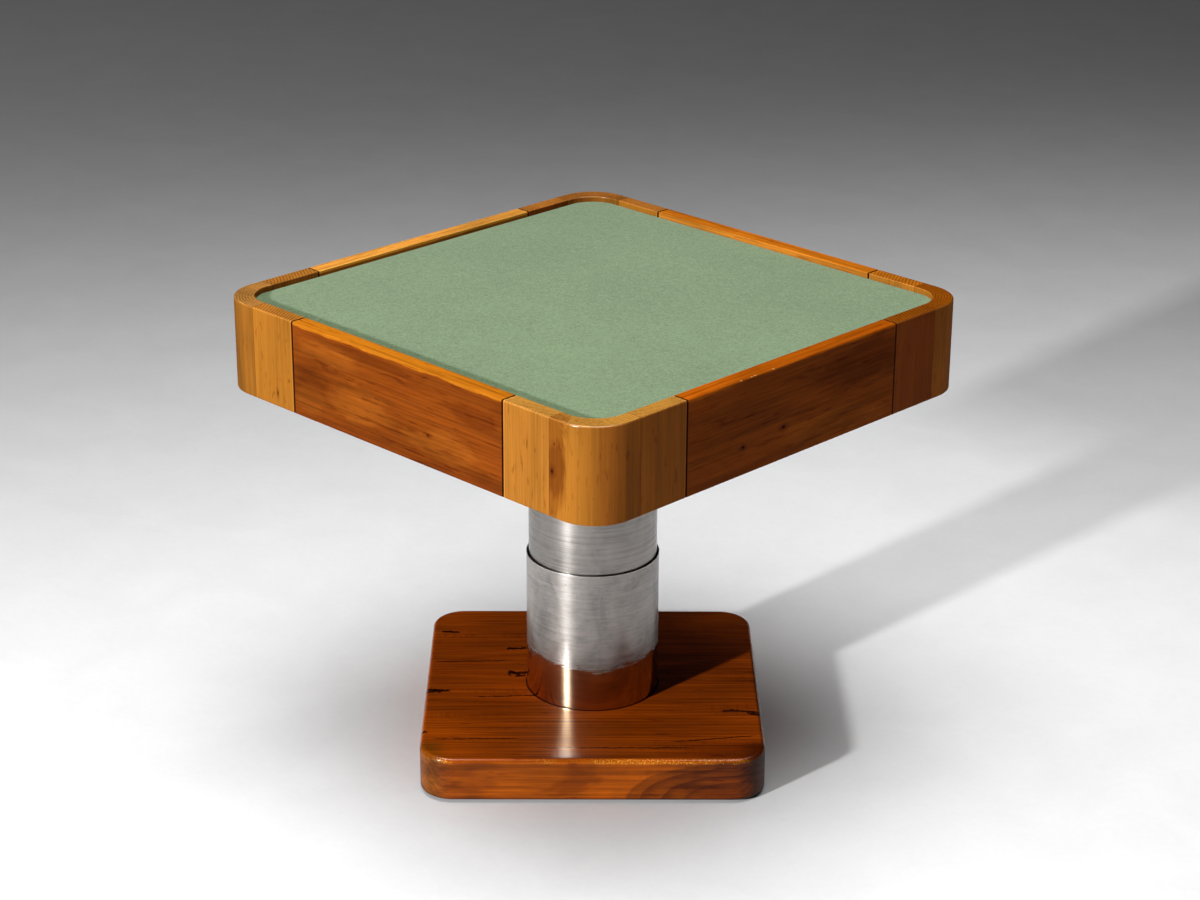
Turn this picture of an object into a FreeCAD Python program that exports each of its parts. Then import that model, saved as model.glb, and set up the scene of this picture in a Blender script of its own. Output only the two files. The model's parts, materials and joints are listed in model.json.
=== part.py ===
import FreeCAD, Part
import math
import os

# Square game table on a telescoping steel column.
# Four drawers close the sides between the rounded corners, and their fronts are part of the rim.
# A gas lift inside the column raises, lowers and swivels the top, and a lever under the top releases it.
# Frame: millimetres, +Z up, origin on the floor under the column, sides of the top along X and Y.
# The plinth stands turned under the top. Everything is modelled at its highest setting.

Vector = FreeCAD.Vector

# Overrun of every cutting tool past what it cuts, and how exactly an edge is found by its place
overrun = 2.0
place_tolerance = 0.01

# Top: outline and rim
top_side = 840.0
table_height = 756.0
apron_height = 151.0
rim_width = 28.0
corner_radius = 68.0
inner_corner_radius = 53.0
corner_length = 185.0
corner_block_leg = 91.0
rim_outer_edge_radius = 3.0
rim_inner_edge_radius = 1.5
front_gap = 2.0
end_chamfer = 0.8

# Playing field
felt_recess = 9.0
felt_thickness = 2.0
field_board_thickness = 18.0
board_clearance = 0.6

# Carcass under the field
floor_board_thickness = 12.0
floor_board_setback = 20.0
brace_thickness = 12.0
core_wall_thickness = 12.0
core_clearance = 0.6

# Drawers, their runners and their stops
drawer_side_thickness = 12.0
drawer_back_thickness = 12.0
drawer_bottom_thickness = 5.0
drawer_bottom_lift = 6.0
drawer_side_clearance = 2.0
drawer_back_clearance = 2.0
drawer_under_clearance = 5.0
drawer_over_clearance = 8.0
drawer_back_rise = 5.0
bottom_groove_depth = 5.0
bottom_groove_play = 0.2
runner_height = 12.0
runner_engagement = 5.0
runner_play = 0.4
runner_front_clearance = 0.5
runner_back_setback = 15.0
drawer_stroke = 130.0
stop_gap = 0.5
stop_width = 10.0
stop_length = 200.0
stop_over_clearance = 1.5

# Plinth and its glides
plinth_side = 550.0
plinth_thickness = 73.0
plinth_corner_radius = 54.0
plinth_edge_radius = 7.5
plinth_foot_radius = 5.0
plinth_turn_deg = 45.0
glide_height = 5.0
glide_radius = 15.0
glide_inset = 58.0
glide_peg_radius = 3.0
glide_peg_length = 14.0

# Cover tubes of the column
outer_tube_diameter = 217.0
outer_tube_wall = 2.0
outer_tube_length = 240.0
tube_edge_radius = 0.4
tube_gap = 1.75
tube_overlap = 63.0
inner_tube_wall = 1.5
spigot_height = 12.0
spigot_width = 20.0
spigot_clearance = 0.2
tube_ring_height = 12.0
tube_ring_width = 18.0

# What the moving ends of the column clear at its lowest setting
inner_tube_end_clearance = 5.0
cylinder_end_clearance = 16.0

# Base plate and stand tube
base_plate_radius = 100.0
base_plate_thickness = 8.0
base_plate_recess = 4.0
base_plate_clearance = 0.5
stand_tube_radius = 30.0
stand_tube_wall = 3.0
stand_tube_drop = 12.0
stand_bore_clearance = 0.5

# Gas cylinder, its guide, gland, piston and rod
cylinder_radius = 25.0
cylinder_wall = 3.0
cylinder_top_thickness = 10.0
guide_length = 100.0
guide_flange_width = 6.0
guide_flange_thickness = 3.0
guide_running_clearance = 0.08
gland_height = 18.0
gland_running_clearance = 0.08
piston_height = 18.0
piston_gap = 1.0
rod_radius = 7.0
rod_pin_radius = 5.0
rod_groove_depth = 1.0
rod_end_drop = 3.5
rod_head_height = 4.0
fit_clearance = 0.05

# Thrust bearing and retaining clip at the foot of the rod
washer_thickness = 2.0
washer_radius = 16.0
ball_radius = 1.5
ball_circle_radius = 10.5
ball_count = 10
clip_thickness = 1.5
clip_width = 4.0
clip_mouth = 5.0
clip_gap = 0.3

# Hub under the top, with the tapered seat of the cylinder
hub_disc_clearance = 5.2
hub_disc_thickness = 5.0
hub_boss_radius = 30.0
hub_boss_height = 55.0
hub_seat_height = 38.0
hub_chamber_radius = 20.0
taper_top_radius = 14.0
taper_bottom_radius = 15.0
taper_stand_out = 2.0
shoulder_gap = 4.0

# Release lever, its bracket and pivot, and the valve pin that it presses
lever_width = 16.0
lever_thickness = 5.0
lever_eye_radius = 5.5
lever_end_margin = 45.0
lever_pivot_offset = 40.0
lever_pivot_drop = 9.0
lever_nose = 8.0
lever_slope_deg = 5.0
lever_side_clearance = 1.0
lever_pin_radius = 3.0
lever_pin_end = 2.0
ear_thickness = 3.0
ear_half_length = 9.0
ear_height = 16.0
bracket_web_thickness = 2.5
lever_notch_width = 26.0
lever_notch_height = 27.0
grip_length = 80.0
grip_width = 22.0
grip_thickness = 14.0
grip_edge_radius = 4.0
grip_overhang = 4.0
valve_pin_radius = 3.0
valve_bore_depth = 40.0
valve_pin_end_gap = 4.5
valve_pin_gap = 0.6

# Screws
screw_clearance = 0.1
wood_screw_radius = 2.0
wood_screw_head_radius = 4.0
wood_screw_head_height = 2.5
wood_screw_length = 30.0
brace_screw_inset = 55.0
core_screw_offset = 150.0
hub_screw_radius = 3.0
hub_screw_length = 14.0
hub_screw_head_radius = 6.0
hub_screw_head_height = 4.0
hub_screw_inset = 15.0
hub_screw_count = 6
hub_screw_start_deg = 30.0
ring_screw_length = 18.0
ring_screw_count = 4
ring_screw_start_deg = 45.0
plate_screw_inset = 20.0
plate_screw_count = 6

# Heights above the floor
plinth_bottom = glide_height
plinth_top = plinth_bottom + plinth_thickness
outer_tube_top = plinth_top + outer_tube_length
apron_bottom = table_height - apron_height
felt_top = table_height - felt_recess
field_board_top = felt_top - felt_thickness
field_board_bottom = field_board_top - field_board_thickness
floor_board_bottom = apron_bottom + floor_board_setback
floor_board_top = floor_board_bottom + floor_board_thickness
drawer_box_bottom = floor_board_top + drawer_under_clearance
drawer_box_top = field_board_bottom - drawer_over_clearance
drawer_back_top = drawer_box_top + drawer_back_rise
runner_middle = (drawer_box_bottom + drawer_box_top) / 2
stop_bottom = drawer_box_top + stop_over_clearance
plate_bottom = plinth_bottom + base_plate_recess
plate_top = plate_bottom + base_plate_thickness
stand_tube_top = outer_tube_top - stand_tube_drop
spigot_top = plinth_top + spigot_height
inner_tube_bottom = outer_tube_top - tube_overlap
lift_travel = inner_tube_bottom - spigot_top - inner_tube_end_clearance
lower_washer_top = plate_top + washer_thickness
ball_middle = lower_washer_top + fit_clearance + ball_radius
upper_washer_bottom = ball_middle + ball_radius + fit_clearance
rod_shoulder = upper_washer_bottom + washer_thickness
rod_end = plate_bottom - rod_end_drop
clip_top = plate_bottom - clip_gap
cylinder_bottom = rod_shoulder + cylinder_end_clearance + lift_travel
gland_top = cylinder_bottom + gland_height
piston_bottom = gland_top + piston_gap
piston_top = piston_bottom + piston_height
hub_disc_bottom = floor_board_bottom - hub_disc_thickness
hub_boss_bottom = hub_disc_bottom - hub_boss_height
hub_seat_top = hub_boss_bottom + hub_seat_height
cylinder_tip = hub_seat_top + taper_stand_out
cylinder_shoulder = hub_boss_bottom - shoulder_gap
tube_ring_bottom = floor_board_bottom - tube_ring_height
lever_pivot_height = hub_disc_bottom - lever_pivot_drop

# Distances from the column's axis
top_half = top_side / 2
rim_inner = top_half - rim_width
board_edge = rim_inner - board_clearance
bay_half = top_half - corner_length
glue_line = top_half - corner_block_leg
front_half = bay_half - front_gap
drawer_half = bay_half - drawer_side_clearance
drawer_inside_half = drawer_half - drawer_side_thickness
core_half = bay_half - core_clearance
drawer_inner_end = core_half + drawer_back_clearance
drawer_back_front = drawer_inner_end + drawer_back_thickness
brace_outer = bay_half + brace_thickness
outer_tube_radius = outer_tube_diameter / 2
outer_tube_bore = outer_tube_radius - outer_tube_wall
inner_tube_radius = outer_tube_bore - tube_gap
inner_tube_bore = inner_tube_radius - inner_tube_wall
spigot_radius = outer_tube_bore - spigot_clearance
tube_ring_radius = inner_tube_bore - fit_clearance
tube_ring_bore = tube_ring_radius - tube_ring_width
hub_disc_radius = tube_ring_bore - hub_disc_clearance
stand_tube_bore = stand_tube_radius - stand_tube_wall
cylinder_bore = cylinder_radius - cylinder_wall
lever_end = board_edge - lever_end_margin
lever_half_slot = lever_width / 2 + lever_side_clearance
lever_slope_share = math.tan(math.radians(lever_slope_deg))

quarter_turn_deg = 90.0
full_turn_deg = 360.0
side_names = ("front", "right", "back", "left")
corner_names = ("back_right", "back_left", "front_left", "front_right")


def box(x_low, x_high, y_low, y_high, z_low, z_high):
    """A block between two corners."""
    corner = Vector(x_low, y_low, z_low)
    return Part.makeBox(x_high - x_low, y_high - y_low, z_high - z_low, corner)


def disc(radius, z_low, z_high, x=0, y=0):
    """An upright cylinder."""
    return Part.makeCylinder(radius, z_high - z_low, Vector(x, y, z_low))


def ring(radius, bore, z_low, z_high):
    """An upright tube about the column's axis."""
    return disc(radius, z_low, z_high).cut(disc(bore, z_low - overrun, z_high + overrun))


def turned(shape, angle_deg):
    """A copy of the shape, turned about the column's axis."""
    copy = shape.copy()
    copy.rotate(Vector(0, 0, 0), Vector(0, 0, 1), angle_deg)
    return copy


def around(radius, count, start_deg=0):
    """Places spread evenly on a circle about the column's axis."""
    places = []
    for index in range(count):
        angle = math.radians(start_deg + full_turn_deg * index / count)
        places.append((radius * math.cos(angle), radius * math.sin(angle)))
    return places


def cut_all(shape, tools):
    """The shape less every tool in the list."""
    for tool in tools:
        shape = shape.cut(tool)
    return shape


def rounded_square(half, radius, z_low, z_high):
    """A square plate with rounded upright corners, centred on the column's axis."""
    flat = half - radius
    middle = flat + radius * math.sqrt(0.5)
    edges = []
    for quarter in range(4):
        angle = math.radians(quarter_turn_deg * quarter)
        across = Vector(math.cos(angle), math.sin(angle), 0)
        along = Vector(-math.sin(angle), math.cos(angle), 0)
        base = Vector(0, 0, z_low)
        side_start = base + across * half - along * flat
        side_end = base + across * half + along * flat
        arc_middle = base + (across + along) * middle
        arc_end = base + across * flat + along * half
        edges.append(Part.LineSegment(side_start, side_end).toShape())
        edges.append(Part.Arc(side_end, arc_middle, arc_end).toShape())
    outline = Part.Wire(Part.__sortEdges__(edges))
    return Part.Face(outline).extrude(Vector(0, 0, z_high - z_low))


def level_edges(shape, height, reach):
    """The edges of the shape at one height, no further out than the reach along X and Y."""
    found = []
    for edge in shape.Edges:
        bounds = edge.BoundBox
        level = bounds.ZLength < place_tolerance and abs(bounds.ZMin - height) < place_tolerance
        if level and max(bounds.XMax, bounds.YMax) < reach + place_tolerance:
            found.append(edge)
    return found


def end_edges(shape, place, along_x):
    """The edges of the shape's end face, which is square to X or to Y."""
    found = []
    for edge in shape.Edges:
        bounds = edge.BoundBox
        length = bounds.XLength if along_x else bounds.YLength
        start = bounds.XMin if along_x else bounds.YMin
        if length < place_tolerance and abs(start - place) < place_tolerance:
            found.append(edge)
    return found


def screw(x, y, seat, direction, radius, length, head_radius, head_height, spare=0):
    """A screw whose head sits on a face at height seat, and whose shank runs up (1) or down (-1)."""
    shank_end = seat + direction * (length + spare)
    head_end = seat - direction * head_height
    shank = disc(radius + spare, min(seat, shank_end), max(seat, shank_end), x, y)
    head = disc(head_radius, min(seat, head_end), max(seat, head_end), x, y)
    return shank.fuse(head)


def wood_screws(places, seat, spare=0):
    """Wood screws driven upwards from a face."""
    sizes = (wood_screw_radius, wood_screw_length, wood_screw_head_radius, wood_screw_head_height)
    return [screw(x, y, seat, 1, *sizes, spare) for x, y in places]


def machine_screws(places, seat, length, spare=0):
    """The thicker screws of the hub and of the tube ring, driven upwards from a face."""
    sizes = (hub_screw_radius, length, hub_screw_head_radius, hub_screw_head_height)
    return [screw(x, y, seat, 1, *sizes, spare) for x, y in places]


# Where the screws stand
hub_screw_circle = hub_disc_radius - hub_screw_inset
ring_screw_circle = (tube_ring_radius + tube_ring_bore) / 2
plate_screw_circle = base_plate_radius - plate_screw_inset
brace_middle = bay_half + brace_thickness / 2
core_middle = core_half - core_wall_thickness / 2
brace_screw_place = rim_inner - brace_screw_inset
hub_places = around(hub_screw_circle, hub_screw_count, hub_screw_start_deg)
ring_places = around(ring_screw_circle, ring_screw_count, ring_screw_start_deg)
plate_places = around(plate_screw_circle, plate_screw_count)
carcass_places = []
for sign_x in (-1, 1):
    for sign_y in (-1, 1):
        carcass_places.append((sign_x * brace_middle, sign_y * brace_screw_place))
        carcass_places.append((sign_x * brace_screw_place, sign_y * brace_middle))
        carcass_places.append((sign_x * core_middle, sign_y * core_screw_offset))
        carcass_places.append((sign_x * core_screw_offset, sign_y * core_middle))


def make_base():
    """Plinth, glides, base plate, stand tube, guide, and the fixed cover tube."""
    plinth_half = plinth_side / 2
    plinth = rounded_square(plinth_half, plinth_corner_radius, plinth_bottom, plinth_top)
    plinth = plinth.makeFillet(plinth_edge_radius, level_edges(plinth, plinth_top, plinth_half))
    plinth = plinth.makeFillet(plinth_foot_radius, level_edges(plinth, plinth_bottom, plinth_half))
    plinth = turned(plinth, plinth_turn_deg)
    recess_radius = base_plate_radius + base_plate_clearance
    stand_hole_radius = stand_tube_radius + stand_bore_clearance
    plinth = plinth.cut(disc(recess_radius, plinth_bottom - overrun, plate_top))
    plinth = plinth.cut(disc(stand_hole_radius, plate_top - overrun, plinth_top + overrun))
    plinth = cut_all(plinth, wood_screws(plate_places, plate_bottom, screw_clearance))

    glide_circle = (plinth_half - glide_inset) * math.sqrt(2)
    glides = []
    for x, y in around(glide_circle, 4):
        pad = disc(glide_radius, 0, glide_height, x, y)
        peg = disc(glide_peg_radius, plinth_bottom, plinth_bottom + glide_peg_length, x, y)
        glides.append(pad.fuse(peg))
        hole_radius = glide_peg_radius + fit_clearance
        hole_top = plinth_bottom + glide_peg_length + fit_clearance
        plinth = plinth.cut(disc(hole_radius, plinth_bottom - overrun, hole_top, x, y))

    plate_bore = rod_pin_radius + fit_clearance
    plate = ring(base_plate_radius, plate_bore, plate_bottom, plate_top)
    plate = cut_all(plate, wood_screws(plate_places, plate_bottom, screw_clearance))

    stand_tube = ring(stand_tube_radius, stand_tube_bore, plate_top, stand_tube_top)
    guide_bore = cylinder_radius + guide_running_clearance
    sleeve_bottom = stand_tube_top - guide_length
    sleeve = ring(stand_tube_bore - fit_clearance, guide_bore, sleeve_bottom, stand_tube_top)
    flange_top = stand_tube_top + guide_flange_thickness
    flange = ring(stand_tube_bore + guide_flange_width, guide_bore, stand_tube_top, flange_top)

    outer_tube = ring(outer_tube_radius, outer_tube_bore, plinth_top, outer_tube_top)
    top_edges = level_edges(outer_tube, outer_tube_top, outer_tube_radius)
    outer_tube = outer_tube.makeFillet(tube_edge_radius, top_edges)
    spigot = ring(spigot_radius, spigot_radius - spigot_width, plinth_top, spigot_top)
    washer = ring(washer_radius, rod_pin_radius + fit_clearance, plate_top, lower_washer_top)
    return {
        "plinth": [plinth],
        "plinth_glides": glides,
        "base_plate": [plate],
        "base_plate_screws": wood_screws(plate_places, plate_bottom),
        "stand_tube": [stand_tube],
        "guide_sleeve": [sleeve.fuse(flange)],
        "outer_tube": [outer_tube],
        "outer_tube_spigot": [spigot],
        "bearing_lower_washer": [washer],
    }


def make_rod():
    """Piston rod, which turns in the base plate, with its piston, clip and thrust bearing."""
    pin = disc(rod_pin_radius, rod_end, rod_shoulder)
    shank = disc(rod_radius, rod_shoulder, piston_bottom)
    neck = disc(rod_pin_radius, piston_bottom, piston_top)
    head = disc(rod_radius, piston_top, piston_top + rod_head_height)
    rod = pin.fuse(shank).fuse(neck).fuse(head).removeSplitter()
    groove_radius = rod_pin_radius - rod_groove_depth
    groove_top = clip_top + fit_clearance
    groove_bottom = clip_top - clip_thickness - fit_clearance
    rod = rod.cut(ring(rod_radius, groove_radius, groove_bottom, groove_top))

    clip_radius = rod_pin_radius + clip_width
    clip_bottom = clip_top - clip_thickness
    clip = ring(clip_radius, groove_radius + fit_clearance, clip_bottom, clip_top)
    mouth = box(0, clip_radius + overrun, -clip_mouth / 2, clip_mouth / 2,
                clip_bottom - overrun, clip_top + overrun)
    piston = ring(cylinder_bore - fit_clearance, rod_pin_radius + fit_clearance, piston_bottom, piston_top)
    washer = ring(washer_radius, rod_pin_radius + fit_clearance, upper_washer_bottom, rod_shoulder)
    balls = []
    for x, y in around(ball_circle_radius, ball_count):
        balls.append(Part.makeSphere(ball_radius, Vector(x, y, ball_middle)))
    return {
        "piston_rod": [rod],
        "piston": [piston],
        "rod_clip": [clip.cut(mouth)],
        "bearing_balls": balls,
        "bearing_upper_washer": [washer],
    }


def taper(z_low, z_high, clearance):
    """The cone of the cylinder's seat, carried on to the heights asked for."""
    rate = (taper_bottom_radius - taper_top_radius) / hub_seat_height
    radius_low = taper_bottom_radius + rate * (hub_boss_bottom - z_low) - clearance
    radius_high = taper_bottom_radius + rate * (hub_boss_bottom - z_high) - clearance
    return Part.makeCone(radius_low, radius_high, z_high - z_low, Vector(0, 0, z_low))


def lever_path(z_low, z_high):
    """The slot that the release lever needs on its way out."""
    return box(0, lever_end, -lever_notch_width / 2, lever_notch_width / 2, z_low, z_high)


def make_lift():
    """Gas cylinder, hub, moving cover tube and the lever's bracket, all fixed under the top."""
    body = disc(cylinder_radius, cylinder_bottom, cylinder_shoulder)
    body = body.fuse(taper(cylinder_shoulder, cylinder_tip, fit_clearance))
    bore_top = cylinder_shoulder - cylinder_top_thickness
    body = body.cut(disc(cylinder_bore, cylinder_bottom - overrun, bore_top))
    valve_bore = valve_pin_radius + fit_clearance
    body = body.cut(disc(valve_bore, cylinder_tip - valve_bore_depth, cylinder_tip + overrun))
    gland_bore = rod_radius + gland_running_clearance
    gland = ring(cylinder_bore - fit_clearance, gland_bore, cylinder_bottom, gland_top)

    hub = disc(hub_boss_radius, hub_boss_bottom, hub_disc_bottom)
    hub = hub.fuse(disc(hub_disc_radius, hub_disc_bottom, floor_board_bottom))
    hub = hub.cut(taper(hub_boss_bottom - overrun, hub_seat_top + overrun, 0))
    hub = hub.cut(disc(hub_chamber_radius, hub_seat_top, hub_disc_bottom))
    slot = box(0, hub_boss_radius + overrun, -lever_half_slot, lever_half_slot, hub_seat_top, hub_disc_bottom)
    hub = hub.cut(slot)
    hub = cut_all(hub, machine_screws(hub_places, hub_disc_bottom, hub_screw_length, screw_clearance))

    notch_bottom = floor_board_bottom - lever_notch_height
    notch = lever_path(notch_bottom, floor_board_bottom + overrun)
    inner_tube = ring(inner_tube_radius, inner_tube_bore, inner_tube_bottom, floor_board_bottom).cut(notch)
    tube_ring = ring(tube_ring_radius, tube_ring_bore, tube_ring_bottom, floor_board_bottom).cut(notch)
    ring_holes = machine_screws(ring_places, tube_ring_bottom, ring_screw_length, screw_clearance)
    tube_ring = cut_all(tube_ring, ring_holes)

    ear_outer = lever_half_slot + ear_thickness
    ear_start = lever_pivot_offset - ear_half_length
    ear_end = lever_pivot_offset + ear_half_length
    ear_bottom = hub_disc_bottom - ear_height
    bracket = box(ear_start, ear_end, -ear_outer, ear_outer, ear_bottom, hub_disc_bottom)
    web_bottom = hub_disc_bottom - bracket_web_thickness
    inside = box(ear_start - overrun, ear_end + overrun, -lever_half_slot, lever_half_slot,
                 ear_bottom - overrun, web_bottom)
    bracket = bracket.cut(inside).cut(pivot_cylinder(lever_pin_radius + fit_clearance, ear_outer + overrun))
    return {
        "gas_cylinder": [body],
        "cylinder_gland": [gland],
        "hub_plate": [hub],
        "hub_screws": machine_screws(hub_places, hub_disc_bottom, hub_screw_length),
        "inner_tube": [inner_tube],
        "inner_tube_ring": [tube_ring],
        "ring_screws": machine_screws(ring_places, tube_ring_bottom, ring_screw_length),
        "lever_bracket": [bracket],
        "lever_pin": [pivot_cylinder(lever_pin_radius, ear_outer + lever_pin_end)],
    }


def pivot_cylinder(radius, half_length):
    """A cylinder on the release lever's pivot axis."""
    start = Vector(lever_pivot_offset, -half_length, lever_pivot_height)
    return Part.makeCylinder(radius, 2 * half_length, start, Vector(0, 1, 0))


def make_lever():
    """Release lever and its grip, sloping down to the outside, and the valve pin under its nose."""
    half_width = lever_width / 2
    bar_bottom = lever_pivot_height - lever_thickness / 2
    bar_top = lever_pivot_height + lever_thickness / 2
    bar = box(-lever_nose, lever_end, -half_width, half_width, bar_bottom, bar_top)
    grip_end = lever_end + grip_overhang
    grip_bottom = lever_pivot_height - grip_thickness / 2
    grip_top = lever_pivot_height + grip_thickness / 2
    grip = box(grip_end - grip_length, grip_end, -grip_width / 2, grip_width / 2, grip_bottom, grip_top)
    grip = grip.makeFillet(grip_edge_radius, grip.Edges).cut(bar)
    lever = bar.fuse(pivot_cylinder(lever_eye_radius, half_width))
    lever = lever.cut(pivot_cylinder(lever_pin_radius + guide_running_clearance, half_width + overrun))
    pivot = Vector(lever_pivot_offset, 0, lever_pivot_height)
    for shape in (lever, grip):
        shape.rotate(pivot, Vector(0, 1, 0), lever_slope_deg)

    # Underside of the sloping bar over the column's axis
    rise = lever_pivot_offset * lever_slope_share
    half_depth = lever_thickness / 2 / math.cos(math.radians(lever_slope_deg))
    pin_top = lever_pivot_height + rise - half_depth - valve_pin_gap
    pin_bottom = cylinder_tip - valve_bore_depth + valve_pin_end_gap
    return {
        "release_lever": [lever],
        "lever_grip": [grip],
        "valve_pin": [disc(valve_pin_radius, pin_bottom, pin_top)],
    }


def make_rim():
    """The whole rim and apron as one ring, before it is sawn into its pieces."""
    rim = rounded_square(top_half, corner_radius, apron_bottom, table_height)
    rim = rim.makeFillet(rim_outer_edge_radius, level_edges(rim, table_height, top_half))
    rim = rim.makeFillet(rim_outer_edge_radius, level_edges(rim, apron_bottom, top_half))
    inside = rounded_square(rim_inner, inner_corner_radius, apron_bottom - overrun, table_height + overrun)
    rim = rim.cut(inside)
    rim = rim.makeFillet(rim_inner_edge_radius, level_edges(rim, table_height, rim_inner))
    return rim.makeFillet(rim_inner_edge_radius, level_edges(rim, apron_bottom, rim_inner))


def make_corners(rim):
    """Curved corner blocks, and the two straight staves beside each."""
    low = apron_bottom - overrun
    high = table_height + overrun
    past = top_half + overrun
    block = rim.common(box(glue_line, past, glue_line, past, low, high))
    stave_x = rim.common(box(rim_inner - overrun, past, bay_half, glue_line, low, high))
    stave_x = stave_x.makeChamfer(end_chamfer, end_edges(stave_x, bay_half, False))
    stave_y = rim.common(box(bay_half, glue_line, rim_inner - overrun, past, low, high))
    stave_y = stave_y.makeChamfer(end_chamfer, end_edges(stave_y, bay_half, True))
    pieces = {}
    for index, name in enumerate(corner_names):
        angle = quarter_turn_deg * index
        pieces["corner_block_" + name] = [turned(block, angle)]
        pieces["corner_staves_" + name] = [turned(stave_x, angle), turned(stave_y, angle)]
    return pieces


def inside_board(z_low, z_high):
    """A board that fills the rim, glued to the corners and kept clear of the drawer fronts."""
    board = rounded_square(rim_inner, inner_corner_radius, z_low, z_high)
    relief = box(-bay_half, bay_half, -rim_inner - overrun, -board_edge, z_low - overrun, z_high + overrun)
    return cut_all(board, [turned(relief, quarter_turn_deg * index) for index in range(4)])


def make_carcass():
    """Field, felt, floor board, core walls, corner braces, runners, stops and their screws."""
    floor_board = inside_board(floor_board_bottom, floor_board_top)
    holes = machine_screws(hub_places, hub_disc_bottom, hub_screw_length, screw_clearance)
    holes += machine_screws(ring_places, tube_ring_bottom, ring_screw_length, screw_clearance)
    holes += wood_screws(carcass_places, floor_board_bottom, screw_clearance)
    floor_board = cut_all(floor_board, holes)

    core_inner = core_half - core_wall_thickness
    walls = {
        "front": box(-core_half, core_half, -core_half, -core_inner, floor_board_top, field_board_bottom),
        "right": box(core_inner, core_half, -core_inner, core_inner, floor_board_top, field_board_bottom),
    }
    walls["back"] = turned(walls["front"], 2 * quarter_turn_deg)
    walls["left"] = turned(walls["right"], 2 * quarter_turn_deg)
    brace_y = box(bay_half, brace_outer, bay_half, rim_inner, floor_board_top, field_board_bottom)
    brace_x = box(brace_outer, rim_inner, bay_half, brace_outer, floor_board_top, field_board_bottom)
    screw_holes = wood_screws(carcass_places, floor_board_bottom, screw_clearance)

    runner_start = drawer_inner_end + runner_back_setback
    runner_end = rim_inner - runner_front_clearance
    runner_face = drawer_half - runner_engagement
    runner_low = runner_middle - runner_height / 2
    runner_high = runner_middle + runner_height / 2
    runner = box(runner_face, bay_half, -runner_end, -runner_start, runner_low, runner_high)
    mirrored = box(-bay_half, -runner_face, -runner_end, -runner_start, runner_low, runner_high)
    stop_inner = drawer_back_front + drawer_stroke + stop_gap
    stop = box(-stop_length / 2, stop_length / 2, -stop_inner - stop_width, -stop_inner,
               stop_bottom, field_board_bottom)

    pieces = {
        "field_board": [inside_board(field_board_bottom, field_board_top)],
        "felt": [inside_board(field_board_top, felt_top)],
        "floor_board": [floor_board],
        "carcass_screws": wood_screws(carcass_places, floor_board_bottom),
        "drawer_runners": [],
        "drawer_stops": [],
    }
    for index, (side, corner) in enumerate(zip(side_names, corner_names)):
        angle = quarter_turn_deg * index
        pieces["core_wall_" + side] = [cut_all(walls[side], screw_holes)]
        braces = [turned(brace_y, angle), turned(brace_x, angle)]
        pieces["corner_brace_" + corner] = [cut_all(brace, screw_holes) for brace in braces]
        pieces["drawer_runners"] += [turned(runner, angle), turned(mirrored, angle)]
        pieces["drawer_stops"].append(turned(stop, angle))
    return pieces


def make_drawers(rim):
    """Four drawers, each a rim front, three box walls and a bottom panel."""
    past = top_half + overrun
    front = rim.common(box(-front_half, front_half, -past, -rim_inner + overrun,
                           apron_bottom - overrun, table_height + overrun))
    front = front.makeChamfer(end_chamfer, end_edges(front, -front_half, True))
    front = front.makeChamfer(end_chamfer, end_edges(front, front_half, True))

    panel_low = drawer_box_bottom + drawer_bottom_lift
    panel_high = panel_low + drawer_bottom_thickness
    panel_half = drawer_inside_half + bottom_groove_depth
    panel_front = rim_inner + bottom_groove_depth
    panel_back = drawer_back_front - bottom_groove_depth
    play = bottom_groove_play
    groove = box(-panel_half, panel_half, -panel_front, -panel_back, panel_low, panel_high)
    panel = box(play - panel_half, panel_half - play, play - panel_front, -panel_back - play,
                panel_low + play, panel_high - play)
    front = front.cut(groove)

    runner_groove_low = runner_middle - runner_height / 2 - runner_play
    runner_groove_high = runner_middle + runner_height / 2 + runner_play
    runner_groove_face = drawer_half - runner_engagement - runner_play
    wall = box(drawer_inside_half, drawer_half, -rim_inner, -drawer_inner_end,
               drawer_box_bottom, drawer_box_top)
    slot = box(runner_groove_face, drawer_half + overrun, -rim_inner - overrun, -drawer_inner_end + overrun,
               runner_groove_low, runner_groove_high)
    right_wall = wall.cut(slot).cut(groove)
    left_wall = right_wall.mirror(Vector(0, 0, 0), Vector(1, 0, 0))
    back_wall = box(-drawer_inside_half, drawer_inside_half, -drawer_back_front, -drawer_inner_end,
                    drawer_box_bottom, drawer_back_top).cut(groove)

    pieces = {}
    for index, side in enumerate(side_names):
        angle = quarter_turn_deg * index
        name = "drawer_" + side
        pieces[name + "_panel"] = [turned(front, angle)]
        pieces[name + "_walls"] = [turned(wall, angle) for wall in (left_wall, right_wall, back_wall)]
        pieces[name + "_bottom"] = [turned(panel, angle)]
    return pieces


def write_parts(pieces):
    """One file for each named piece."""
    os.makedirs("parts", exist_ok=True)
    for name, solids in pieces.items():
        shape = solids[0] if len(solids) == 1 else Part.makeCompound(solids)
        shape.exportStep("parts/" + name + ".step")


whole_rim = make_rim()
table = {}
table.update(make_base())
table.update(make_rod())
table.update(make_lift())
table.update(make_lever())
table.update(make_carcass())
table.update(make_corners(whole_rim))
table.update(make_drawers(whole_rim))
write_parts(table)
print(len(table), "pieces, lift travel", lift_travel)
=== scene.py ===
"""Adjustable game table: the looks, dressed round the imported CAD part."""

import json
import math

import bmesh
import bpy
from mathutils import Euler, Matrix, Vector, noise


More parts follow.
